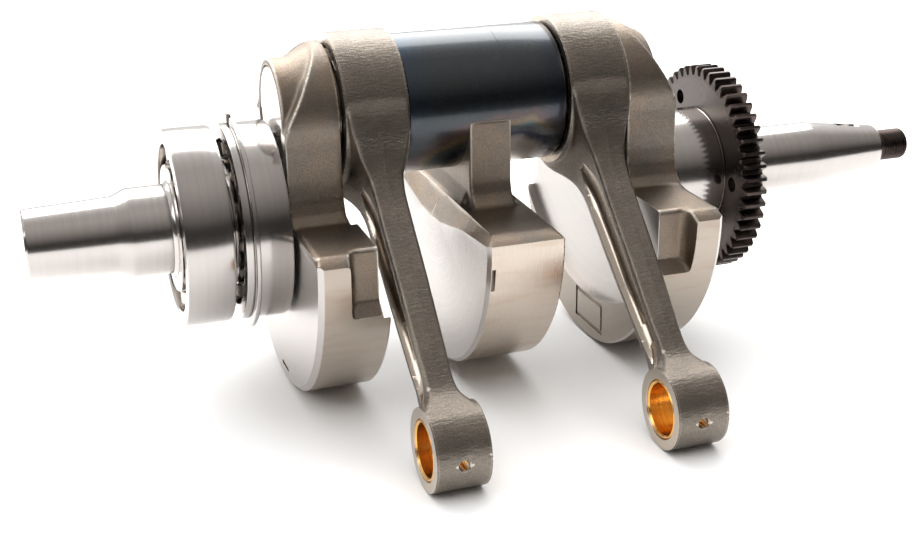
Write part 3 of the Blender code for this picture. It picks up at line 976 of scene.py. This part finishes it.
class CRANK_OT_centre_web(bpy.types.Operator):
    """Adds the centre drum and the centre counterweight with its arm"""

    bl_idname = "crankshaft.centre_web"
    bl_label = "Centre web"

    def execute(self, context):
        forging = forged_finish("centre_forging", colours().forging)
        rim = (CENTRE_RIM_R, scaled(colours().forging, 2.0))
        machined = turned_finish(
            "centre_turned", scaled(colours().turned, 0.76), 0.0, 0.27, 0.2, (1.0, 0.94, 0.92), rim=rim
        )
        dressed = forged_finish("centre_dressed", scaled(colours().forging, 1.6), 1.2)
        web = centre_forging(forging)
        web.data.materials.append(machined)
        x0, x1, radius = MID + CENTRE_LEFT, MID + CENTRE_RIGHT, CENTRE_RIM_R
        shell = [
            (x0, 0.02), (x0, radius - 1.3), (x0 + 1.3, radius), (x1 - 0.6, radius),
            (x1, radius - 0.6), (x1, 0.02)
        ]
        shell += [(x1 + 30, 0.02), (x1 + 30, BEYOND_R), (x0 - 30, BEYOND_R), (x0 - 30, 0.02)]
        cut(web, lathe(shell, closed=True), machined)
        web.data.materials.append(dressed)
        for hand in (-1, 1):
            cut(web, flank_strip(hand), dressed)
        cut(web, block((MID - 13.3, -70.0, -16.7), (MID - 11.9, -61.0, -7.9)), forging)
        web.name = "centre_counterweight"
        piece(web, "crank", ["centre_web"], 38)
        half, radius = sizes().drum_half / MM, sizes().drum_radius / MM
        profile = [
            (-half, 0.0), (-half, radius - 0.9), (-half + 0.5, radius - 0.25),
            (-half + 1.0, radius - 0.1)
        ]
        profile += [
            (7.6, radius - 0.1), (7.8, radius), (half - 1.2, radius), (half - 0.5, radius - 0.3),
            (half, radius - 1.0), (half, 0.0)
        ]
        drum = to_object(
            "centre_drum", moved(lathe([(MID + x, r) for x, r in profile]), (0, 0, PIN_Z)),
            heated_finish("drum_heated", colours().forging)
        )
        piece(drum, "crank", ["centre_web"], 24)
        return {"FINISHED"}


# ---- crankpins and rollers ----


class CRANK_OT_crankpins(bpy.types.Operator):
    """Adds the two pressed crankpins"""

    bl_idname = "crankshaft.crankpins"
    bl_label = "Crankpins"

    def execute(self, context):
        ground = turned_finish("pin_ground", colours().turned, PIN_Z, 0.16, 1.0, (1.0, 0.95, 0.90), 0.3)
        for label in SIDES:
            node = f"{label}_crankpin"
            x0, x1 = cad_mm(node, 0, 0), cad_mm(node, 1, 0)
            pin = to_object(f"{label}_pin", moved(round_bar(PIN_R, x0, x1, 0.9), (0, 0, PIN_Z)), ground)
            piece(pin, "crank", [node], 30)
        return {"FINISHED"}


class CRANK_OT_rollers(bpy.types.Operator):
    """Adds the big-end rollers with their cages"""

    bl_idname = "crankshaft.rollers"
    bl_label = "Big-end rollers"

    def execute(self, context):
        polished = turned_finish("roller_polished", colours().turned, PIN_Z, 0.14)
        silver = turned_finish("roller_cage_plate", (0.66, 0.60, 0.50), PIN_Z, 0.3)
        middle = (PIN_R + EYE_BORE_R) / 2
        for label, x in ROD_X.items():
            bars = []
            for i in range(ROLLER_COUNT):
                angle = math.tau * i / ROLLER_COUNT
                place = (x, middle * math.sin(angle), PIN_Z + middle * math.cos(angle))
                bars.append(
                    moved(round_bar(ROLLER_R, -ROLLER_HALF + 1.2, ROLLER_HALF - 1.2, 0.5, 28), place)
                )
            cage = to_object(
                f"{label}_roller_cage",
                moved(
                    ring(x - ROLLER_HALF, x + ROLLER_HALF, middle - 1.5, middle + 1.5, 0.3, 96),
                    (0, 0, PIN_Z)
                ),
                silver
            )
            slots = []
            for i in range(ROLLER_COUNT):
                angle = -math.tau * i / ROLLER_COUNT
                slot = block(
                    (-ROLLER_HALF + 1.1, -ROLLER_R - 0.08, middle - 4),
                    (ROLLER_HALF - 1.1, ROLLER_R + 0.08, middle + 4)
                )
                slots.append(moved(moved(slot, (0, 0, 0), angle), (x, 0, PIN_Z)))
            cut(cage, joined(*slots), silver)
            piece(cage, f"{label}_roller_set", [f"{label}_big_end_rollers"], 30)
            bars = to_object(f"{label}_rollers", joined(*bars), polished)
            piece(bars, f"{label}_roller_set", [f"{label}_big_end_rollers"], 30)
        return {"FINISHED"}


# ---- rods ----


def shank():
    """The rod's flanked shank as a smooth loft down -Z with a parting ridge."""
    rows = [
        (9.0, 11.2, 24.9, 0.0),
        (19.0, 11.1, 23.0, 0.3),
        (25.0, 10.3, 19.6, 0.5),
        (31.0, 8.5, 15.2, 0.6),
        (37.0, 6.6, 12.3, 0.6),
        (44.0, 5.8, 10.6, 0.6),
        (54.0, 5.7, 9.9, 0.6),
        (80.0, 5.5, 9.1, 0.6),
        (104.0, 5.2, 7.9, 0.6),
        (115.0, 5.0, 7.6, 0.5),
        (120.0, 5.7, 8.2, 0.5),
        (124.5, 7.9, 10.2, 0.4),
        (128.5, 9.2, 12.0, 0.2),
        (133.0, 9.3, 13.2, 0.0),
    ]
    sections = []
    for s, a, b, ridge in smooth_rows(rows, 90):
        front = [
            (-a, -b + 0.9), (-a + 0.9, -b), (-0.9, -b - 0.5 * ridge), (0.0, -b - ridge),
            (0.9, -b - 0.5 * ridge), (a - 0.9, -b), (a, -b + 0.9)
        ]
        loop = front + [(x, -y) for x, y in front[::-1]]
        sections.append([(x, y, -s) for x, y in loop])
    return loft(sections)


def channel(side):
    """The long channel in one side of the shank."""
    rows = [
        (36.0, 2.0, 0.1, 6.6),
        (42.0, 4.6, 1.5, 5.9),
        (50.0, 6.3, 3.0, 5.7),
        (60.0, 6.5, 3.4, 5.6),
        (85.0, 5.8, 3.3, 5.4),
        (104.0, 4.9, 3.1, 5.2),
        (113.0, 4.2, 2.6, 5.1),
        (118.0, 2.6, 1.2, 5.3),
        (120.5, 1.2, 0.1, 5.8),
    ]
    sections = []
    for s, half, depth, skin in smooth_rows(rows, 60):
        floor = skin - depth
        across = [
            (skin + 6.0, -half - 2.4), (skin, -half), (floor + 0.5 * depth, -0.91 * half),
            (floor, -0.7 * half)
        ]
        loop = across + [(x, -y) for x, y in across[::-1]]
        sections.append([(side * x, y, -s) for x, y in loop])
    return loft(sections)


def rod_finish(name):
    """Shot-peened rod: brown satin flanges, smoother brighter channels."""
    f = Finish(name)
    base = colours().rod
    patches = f.noise(12.0, 3.0, 0.6)
    speckle = f.noise(0.42, 3.0, 0.7)
    colour = f.blend(f.spread(patches, 0.3, 0.7), scaled(base, 0.88), scaled(base, 1.12))
    colour = f.blend(f.spread(speckle, 0.35, 0.66), f.blend(0.45, colour, scaled(base, 0.3)), colour)
    # painted shade: concave corners and creases darkened towards a dark copy of the base colour
    colour = f.blend(f.math("MULTIPLY", f.painted_crease_shade(0.05), 0.4), colour, scaled(base, 0.4))
    # bright convex edges: partly real edge wear, partly a painted edge highlight
    colour = f.blend(f.math("MULTIPLY", f.edge_wear_and_highlight(0.05), 0.6), colour, (0.80, 0.74, 0.66))
    wrinkles = f.noise(1.0, 2.0, 0.5, at=f.stretched(0.35, 1.0, 1.1))
    roughness = f.spread(speckle, 0.3, 0.7, 0.44, 0.32)
    f.bump((wrinkles, 0.17), (f.noise(0.55, 3.0, 0.65), 0.13))
    return f.done(colour, roughness)


def add_rod(label, peened, polished, machined):
    """One connecting rod: forged skin, I-beam channels, bored and faced eyes."""
    body, length = f"{label}_side_rod", sizes().rod_length / MM
    rod = to_object(
        f"{label}_connecting_rod",
        joined(
            shank(), moved(round_bar(EYE_R, -EYE_HALF - 0.5, EYE_HALF + 0.5), (0, 0, 0)),
            moved(round_bar(SMALL_R, -SMALL_HALF - 0.5, SMALL_HALF + 0.5), (0, 0, -length))
        ),
        peened
    )
    remesh(rod, ROD_VOXEL, 5)
    rod.data.materials.append(polished)
    rod.data.materials.append(machined)
    for side in (-1, 1):
        cut(rod, channel(side), polished)
    soften = rod.modifiers.new("soften", "SMOOTH")
    soften.factor = 0.5
    soften.iterations = 2
    bake(rod)
    for radius, half, drop in ((EYE_R, EYE_HALF, 0.0), (SMALL_R, SMALL_HALF, -length)):
        rings = [(half + 0.3, 0.0), (half + 0.3, radius - 0.9), (half - 0.5, radius)]
        plain = [((half - 0.5) * (i / 16 - 1.0), radius) for i in range(1, 32)]
        profile = [(-x, r) for x, r in rings] + plain + rings[::-1]
        cut(rod, moved(lathe(profile), (0, 0, drop)), peened, "UNION")
    for side in (-1, 1):
        for half, low, high in ((EYE_HALF, -29.0, 40.0), (SMALL_HALF, -length - 20.0, -length + 17.0)):
            cut(rod, block((side * half, -60, low), (side * (half + 6), 60, high)), machined)
    eye = [
        (-14, 0), (-14, EYE_BORE_R + 2.4), (-EYE_HALF + 0.7, EYE_BORE_R),
        (EYE_HALF - 0.7, EYE_BORE_R), (14, EYE_BORE_R + 2.4), (14, 0)
    ]
    cut(rod, lathe(eye), machined)
    cut(
        rod,
        moved(
            lathe(
                [
                    (-12, 0), (-12, BUSH_R + 2.8), (-SMALL_HALF + 0.25, BUSH_R + 0.05),
                    (SMALL_HALF - 0.25, BUSH_R + 0.05), (12, BUSH_R + 2.8), (12, 0)
                ]
            ),
            (0, 0, -length)
        ),
        machined
    )
    cut(rod, oil_hole(length), machined)
    set_in_place(rod, label)
    return piece(rod, body, [f"{label}_rod"], 40)


def oil_hole(length):
    """The small end's oil hole with its countersunk mouth."""
    out = Vector((0, -math.sin(OIL_ANGLE), -math.cos(OIL_ANGLE)))
    centre = Vector((0, 0, -length))
    hole = drill(OIL_HOLE_R, centre + out * 7.5, centre + out * 20.0, 40)
    bm = bmesh.new()
    bmesh.ops.create_cone(bm, cap_ends=True, segments=40, radius1=1.7, radius2=3.3, depth=1.6)
    turn = out.to_track_quat("Z", "Y").to_matrix().to_4x4()
    bmesh.ops.transform(
        bm, matrix=Matrix.Translation(centre + out * (SMALL_R + 0.25)) @ turn, verts=bm.verts
    )
    sink = to_object("sink", bm)
    tool = to_object("hole", hole)
    cut(tool, taken_as_bmesh(sink), None, "UNION")
    made = bmesh.new()
    made.from_mesh(tool.data)
    bmesh.ops.scale(made, vec=(1 / MM,) * 3, verts=made.verts)
    bpy.data.objects.remove(tool)
    return made


def taken_as_bmesh(obj):
    """The object's mesh as a millimetre bmesh; the object is removed."""
    bm = bmesh.new()
    bm.from_mesh(obj.data)
    bmesh.ops.scale(bm, vec=(1 / MM,) * 3, verts=bm.verts)
    bpy.data.objects.remove(obj)
    return bm


def set_in_place(obj, label):
    """Leans a rod piece out to the floor plane and stands it at its crankpin."""
    obj.location = Vector((ROD_X[label], 0, PIN_Z)) * MM
    obj.rotation_euler = (-rod_lean(), 0, 0)
    bpy.context.view_layer.update()


class CRANK_OT_rods(bpy.types.Operator):
    """Adds the connecting rods with their bronze bushes"""

    bl_idname = "crankshaft.rods"
    bl_label = "Connecting rods"

    def execute(self, context):
        peened = rod_finish("rod_peened")
        polished = turned_finish("rod_channel", scaled(colours().rod, 2.0), 0.0, 0.2, 0.2)
        machined = turned_finish("rod_ground", scaled(colours().rod, 1.9), 0.0, 0.26, 0.6)
        bronze = bronze_finish("bush_bronze")
        length = sizes().rod_length / MM
        for label in SIDES:
            add_rod(label, peened, polished, machined)
            bush = to_object(
                f"{label}_bush",
                ring(-SMALL_HALF + 0.1, SMALL_HALF - 0.1, BUSH_BORE_R, BUSH_R, 0.55), bronze
            )
            out = Vector((0, -math.sin(OIL_ANGLE), -math.cos(OIL_ANGLE)))
            cut(bush, drill(OIL_HOLE_R, out * 5, out * 14, 32), bronze)
            bush.data.transform(Matrix.Translation((0, 0, -length * MM)))
            set_in_place(bush, label)
            piece(bush, f"{label}_side_rod", [f"{label}_small_end_bush"], 30)
        return {"FINISHED"}


def bronze_finish(name):
    """Bored bronze with fine tool bands."""
    f = Finish(name)
    base = colours().bronze
    bands = f.noise(1.3, 2.0, 0.6, line=f.x)
    colour = f.blend(f.spread(bands, 0.35, 0.65), scaled(base, 0.8), base)
    colour = f.blend(f.spread(f.noise(6.0, 3.0), 0.5, 0.8, 0.0, 0.4), colour, (0.75, 0.36, 0.10))
    f.bump((bands, 0.01), (f.noise(0.25, 2.0, 0.6, line=f.x), 0.008))
    return f.done(colour, 0.24)


# ---- ball bearings ----


def race_arc(start_deg, end_deg, count=24):
    """The ball groove of a ring as (x, r) points."""
    return [(x, PITCH_R + r) for x, r in arc(RACE_R, start_deg, end_deg, count)]


def outer_ring(label, x, ground, groove_at=None):
    """Outer bearing ring, with a snap ring groove where groove_at gives its place."""
    h, c = BEARING_HALF, 1.1
    profile = [(-h, 31.3), (-h, RING_OUT_R - c), (-h + 0.25, RING_OUT_R - 0.35), (-h + c, RING_OUT_R)]
    if groove_at is not None:
        for x_wall, r in ((-1.05, RING_OUT_R), (-1.05, 34.2), (1.05, 34.2), (1.05, RING_OUT_R)):
            profile.append((groove_at + x_wall, r))
    profile += [
        (h - c, RING_OUT_R), (h - 0.25, RING_OUT_R - 0.35), (h, RING_OUT_R - c), (h, 31.3),
        (h - 0.6, 30.5)
    ]
    profile += race_arc(40, 140)
    profile += [(-h + 0.6, 30.5)]
    bm = moved(lathe(profile, closed=True), (x, 0, 0))
    return piece(
        to_object(f"{label}_outer_race", bm, ground), f"{label}_outer_ring",
        [f"{label}_bearing_outer_ring"], 28
    )


def inner_ring(label, x, ground):
    """Inner bearing ring with its ball groove."""
    h, c = BEARING_HALF, 0.9
    profile = [(h - 0.5, 23.2), (h, 22.8), (h, RING_IN_R + c), (h - c, RING_IN_R)]
    profile += [(-h + c, RING_IN_R), (-h, RING_IN_R + c), (-h, 22.8), (-h + 0.5, 23.2)]
    profile += race_arc(-140, -40)
    bm = moved(lathe(profile, closed=True), (x, 0, 0))
    return piece(
        to_object(f"{label}_inner_race", bm, ground), "crank", [f"{label}_bearing_inner_ring"],
        28
    )


def ball_place(i):
    """The (y, z) place of one ball on the pitch circle."""
    angle = math.tau * (i + 0.5) / BALL_COUNT
    return PITCH_R * math.sin(angle), PITCH_R * math.cos(angle)


def ribbon_half(side):
    """One pressed half of a ribbon cage, bulging round each ball."""
    bm = bmesh.new()
    loops = []
    steps = BALL_COUNT * 28
    for i in range(steps):
        angle = math.tau * i / steps
        part = (angle / math.tau * BALL_COUNT - 0.5) % 1.0
        away = (part if part < 0.5 else 1.0 - part) * math.tau / BALL_COUNT * PITCH_R
        reach = BALL_R + 0.35
        base = math.sqrt(max(reach**2 - away**2, 0.0)) if away < reach else 0.0
        base = max(base, 0.03)
        loop = []
        for x, r in ((base, 24.6), (base, 28.9), (base + CAGE_THICK, 28.9), (base + CAGE_THICK, 24.6)):
            loop.append(bm.verts.new((side * x, r * math.sin(angle), r * math.cos(angle))))
        loops.append(loop)
    for low, high in zip(loops, loops[1:] + loops[:1]):
        for i in range(4):
            j = (i + 1) % 4
            bm.faces.new((low[i], low[j], high[j], high[i]))
    return bm


def rivet(i, side):
    """One cage rivet head between two balls."""
    angle = math.tau * i / BALL_COUNT
    bm = lathe(
        [(side * 0.5, 0.0), (side * 0.5, 1.1), (side * 1.3, 1.1), (side * 1.7, 0.6), (side * 1.8, 0.0)],
        24
    )
    return moved(bm, (0, PITCH_R * math.sin(angle), PITCH_R * math.cos(angle)))


def add_bearing(label, ground, polished, oiled, groove_at=None):
    """Both rings, the riveted ribbon cage and the balls of one bearing."""
    x = BEARING_X[label]
    outer_ring(label, x, ground, groove_at)
    inner_ring(label, x, ground)
    parts = [ribbon_half(-1), ribbon_half(1)]
    parts += [rivet(i, side) for i in range(BALL_COUNT) for side in (-1, 1)]
    cage = to_object(f"{label}_ribbon_cage", moved(joined(*parts), (x, 0, 0)), oiled)
    piece(cage, f"{label}_ball_set", [f"{label}_bearing_cage"], 45)
    balls = []
    for i in range(BALL_COUNT):
        ball = bmesh.new()
        bmesh.ops.create_uvsphere(ball, u_segments=40, v_segments=24, radius=BALL_R)
        y, z = ball_place(i)
        balls.append(moved(ball, (x, y, z)))
    balls = to_object(f"{label}_balls", joined(*balls), polished)
    nodes = [f"{label}_bearing_ball_{i + 1}" for i in range(BALL_COUNT)]
    piece(balls, f"{label}_ball_set", nodes, 60)


class CRANK_OT_bearings(bpy.types.Operator):
    """Adds the two ball bearings and the snap ring"""

    bl_idname = "crankshaft.bearings"
    bl_label = "Ball bearings"

    def execute(self, context):
        ground = turned_finish(
            "bearing_ground", scaled(colours().turned, 0.80), 0.0, 0.16, 0.8, (1.0, 0.94, 0.86), 0.3
        )
        polished = turned_finish("ball_polished", colours().turned, 0.0, 0.1, 0.3)
        oiled = forged_finish("cage_oiled", (0.28, 0.24, 0.21), 0.3)
        spring = turned_finish("spring_bright", scaled(colours().turned, 0.8), 0.0, 0.2, 0.8)
        add_bearing("outboard", ground, polished, oiled)
        add_bearing("inboard", ground, polished, oiled, SNAP_X - BEARING_X["inboard"])
        sections = []
        gap_deg, count = 8.0, 150
        for i in range(count + 1):
            angle = math.radians(gap_deg / 2 + (360.0 - gap_deg) * i / count)
            loop = [
                (-0.85, 34.5), (-0.85, 38.9), (-0.65, 39.25), (-0.3, 39.35), (0.3, 39.35),
                (0.65, 39.25), (0.85, 38.9), (0.85, 34.5)
            ]
            sections.append(
                [(SNAP_X + dx, -r * math.sin(angle), r * math.cos(angle)) for dx, r in loop]
            )
        piece(
            to_object("snap_circlip", loft(sections), spring), "inboard_outer_ring", ["snap_ring"],
            40
        )
        return {"FINISHED"}


# ---- gear ----


def tooth_outline(shrink):
    """Spur tooth flanks with a rounded root; shrink pulls the tips in for a chamfer."""
    tip = sizes().gear_tip_radius / MM - shrink
    root = tip - 3.7 + shrink * 0.4
    shape = [
        (-0.5, root - 0.1), (-0.36, root + 0.15), (-0.29, root + 1.2), (-0.215, root + 2.4),
        (-0.12, tip - 0.12), (-0.10, tip)
    ]
    shape += [(-share, radius) for share, radius in shape[:0:-1]]
    step = math.tau / GEAR_TEETH
    points = []
    for i in range(GEAR_TEETH):
        for share, radius in shape:
            thin = 1.0 - shrink * 0.12 if abs(share) < 0.4 else 1.0
            angle = (i + share * thin) * step
            points.append((radius * math.cos(angle), radius * math.sin(angle)))
    return points


def gear_finish(name, dressed=0.6):
    """Black oxide: near-black teeth, brown-grey sheen on the dressed faces."""
    f = Finish(name)
    base = colours().oxide
    line, radius = f.axis_line(0.0)
    patches = f.noise(9.0, 3.0, 0.6)
    colour = f.blend(
        f.spread(patches, 0.3, 0.7), scaled(base, 0.8),
        tuple(b * k for b, k in zip(base, (1.8, 1.6, 1.5)))
    )
    face = f.spread(radius, 36.6, 35.6)
    colour = f.blend(f.math("MULTIPLY", face, dressed), colour, (0.10, 0.086, 0.080))
    f.bump((f.noise(0.5, 3.0, 0.6), 0.015))
    return f.done(colour, f.spread(patches, 0.3, 0.7, 0.26, 0.36))


class CRANK_OT_gear(bpy.types.Operator):
    """Adds the black spur gear"""

    bl_idname = "crankshaft.gear"
    bl_label = "Drive gear"

    def execute(self, context):
        black = gear_finish("gear_black")
        x0, x1 = GEAR_X
        sections = []
        for x, shrink in ((x0, 0.55), (x0 + 0.55, 0.0), (x1 - 0.55, 0.0), (x1, 0.55)):
            sections.append([(x, y, z) for y, z in tooth_outline(shrink)])
        gear = to_object("spur_gear", loft(sections), black)
        cut(gear, drill(JOURNAL_R + 0.02, (x0 - 5, 0, 0), (x1 + 5, 0, 0), 144), black)
        for y, z in ((14.9, 25.8), (-29.9, 0.9)):
            cut(gear, drill(2.9, (x0 - 5, y, z), (x1 + 5, y, z), 48), black)
        relief = ring(x1 - 1.2, x1 + 3, 27.2, 35.2, 0.5)
        cut(gear, relief, black)
        piece(gear, "crank", ["drive_gear"], 28)
        return {"FINISHED"}


# ---- stage ----


def floor_finish(name):
    """Matt pale paper."""
    material = bpy.data.materials.new(name)
    material.use_nodes = True
    shader = material.node_tree.nodes["Principled BSDF"]
    shader.inputs["Base Color"].default_value = (*colours().floor, 1.0)
    shader.inputs["Roughness"].default_value = 0.9
    shader.inputs["Specular IOR Level"].default_value = 0.0
    return material


def add_light(name, place, aim, size, power, colour=(1.0, 1.0, 1.0), mirrored=True):
    data = bpy.data.lights.new(name, "AREA")
    data.shape = "RECTANGLE"
    data.size, data.size_y = size
    data.energy = power
    data.color = colour
    light = bpy.data.objects.new(name, data)
    light.location = place
    light.visible_glossy = mirrored
    light.rotation_euler = (Vector(aim) - Vector(place)).to_track_quat("-Z", "Y").to_euler()
    bpy.context.scene.collection.objects.link(light)


def add_world():
    """White to the camera; bright overhead and darker at the horizon for the metal."""
    world = bpy.data.worlds.new("studio")
    bpy.context.scene.world = world
    world.use_nodes = True
    tree = world.node_tree
    tree.nodes.clear()
    coord = tree.nodes.new("ShaderNodeTexCoord")
    split = tree.nodes.new("ShaderNodeSeparateXYZ")
    tree.links.new(coord.outputs["Generated"], split.inputs[0])
    ramp = tree.nodes.new("ShaderNodeValToRGB")
    lift = tree.nodes.new("ShaderNodeMapRange")
    lift.inputs["From Min"].default_value = -1.0
    tree.links.new(split.outputs["Z"], lift.inputs["Value"])
    tree.links.new(lift.outputs[0], ramp.inputs[0])
    behind = tree.nodes.new("ShaderNodeMapRange")
    behind.interpolation_type = "SMOOTHSTEP"
    behind.inputs["From Min"].default_value = -0.15
    behind.inputs["From Max"].default_value = 0.45
    tree.links.new(split.outputs["Y"], behind.inputs["Value"])
    sweep = tree.nodes.new("ShaderNodeMix")
    sweep.data_type = "RGBA"
    tree.links.new(behind.outputs[0], sweep.inputs["Factor"])
    tree.links.new(ramp.outputs[0], sweep.inputs[6])
    sweep.inputs[7].default_value = (0.95, 0.94, 0.93, 1.0)
    stops = [(0.30, 0.25), (0.44, 0.05), (0.60, 0.05), (0.76, 0.30), (0.95, 0.60)]
    marks = ramp.color_ramp.elements
    while len(marks) < len(stops):
        marks.new(0.5)
    for mark, (place, value) in zip(marks, stops):
        mark.position = place
        mark.color = (value, value * 0.95, value * 0.91, 1.0)
    shade = tree.nodes.new("ShaderNodeBackground")
    tree.links.new(sweep.outputs[2], shade.inputs["Color"])
    shade.inputs["Strength"].default_value = 1.0
    white = tree.nodes.new("ShaderNodeBackground")
    white.inputs["Color"].default_value = (1.0, 1.0, 1.0, 1.0)
    path = tree.nodes.new("ShaderNodeLightPath")
    mix = tree.nodes.new("ShaderNodeMixShader")
    tree.links.new(path.outputs["Is Camera Ray"], mix.inputs[0])
    tree.links.new(shade.outputs[0], mix.inputs[1])
    tree.links.new(white.outputs[0], mix.inputs[2])
    out = tree.nodes.new("ShaderNodeOutputWorld")
    tree.links.new(mix.outputs[0], out.inputs["Surface"])


def add_camera():
    """Three-quarter view from the front and a little above."""
    data = bpy.data.cameras.new("camera")
    data.sensor_width = 36.0
    data.lens = LENS_MM
    data.clip_start = 0.01
    camera = bpy.data.objects.new("camera", data)
    right = Vector(CAMERA_RIGHT)
    up = Vector(CAMERA_UP)
    turn = Matrix((right, up, right.cross(up))).transposed().to_4x4()
    camera.matrix_world = Matrix.Translation(CAMERA_PLACE) @ turn
    bpy.context.scene.collection.objects.link(camera)
    bpy.context.scene.camera = camera


class CRANK_OT_stage(bpy.types.Operator):
    """Adds the floor, the soft studio light and the camera"""

    bl_idname = "crankshaft.stage"
    bl_label = "Stage"

    def execute(self, context):
        bm = bmesh.new()
        bmesh.ops.create_circle(bm, cap_ends=True, segments=160, radius=FLOOR_R / MM)
        moved(bm, (FLOOR_MIDDLE[0] / MM, FLOOR_MIDDLE[1] / MM, -RIM_R - 0.1))
        floor = to_object("floor", bm, floor_finish("floor_paper"))
        middle = (0.18, -0.03, 0.0)
        add_light("main", (0.20, 0.62, 0.62), middle, (1.5, 0.75), 15.0, (1.0, 0.995, 0.985))
        add_light("side", (-0.75, -0.20, 0.55), middle, (0.5, 0.5), 2.0)
        add_light("floor_wash", (0.15, -0.35, 1.5), (0.15, -0.1, 0.0), (2.4, 2.0), 26.0, mirrored=False)
        add_world()
        add_camera()
        bpy.context.scene.view_settings.view_transform = "Standard"
        return {"FINISHED"}


# ---- add-on ----


PIECES = (
    CRANK_OT_outer_webs,
    CRANK_OT_shafts,
    CRANK_OT_centre_web,
    CRANK_OT_crankpins,
    CRANK_OT_rollers,
    CRANK_OT_rods,
    CRANK_OT_bearings,
    CRANK_OT_gear,
    CRANK_OT_stage,
)


class CRANK_PT_panel(bpy.types.Panel):
    """Lists the pieces and the settings they use"""

    bl_label = "Crankshaft"
    bl_idname = "CRANK_PT_panel"
    bl_space_type = "VIEW_3D"
    bl_region_type = "UI"
    bl_category = "Crankshaft"

    def draw(self, context):
        for settings in (context.scene.crank_sizes, context.scene.crank_colours):
            for name in settings.bl_rna.properties.keys():
                if name not in ("rna_type", "name"):
                    self.layout.prop(settings, name)
        for step in PIECES:
            self.layout.operator(step.bl_idname)


CLASSES = (CrankSizes, CrankColours, *PIECES, CRANK_PT_panel)


def register():
    for cls in CLASSES:
        bpy.utils.register_class(cls)
    bpy.types.Scene.crank_sizes = PointerProperty(type=CrankSizes)
    bpy.types.Scene.crank_colours = PointerProperty(type=CrankColours)


def unregister():
    del bpy.types.Scene.crank_colours
    del bpy.types.Scene.crank_sizes
    for cls in reversed(CLASSES):
        bpy.utils.unregister_class(cls)


def main():
    register()
    for step in PIECES:
        call = step.bl_idname.split(".")[1]
        getattr(bpy.ops.crankshaft, call)()


if __name__ == "__main__":
    main()
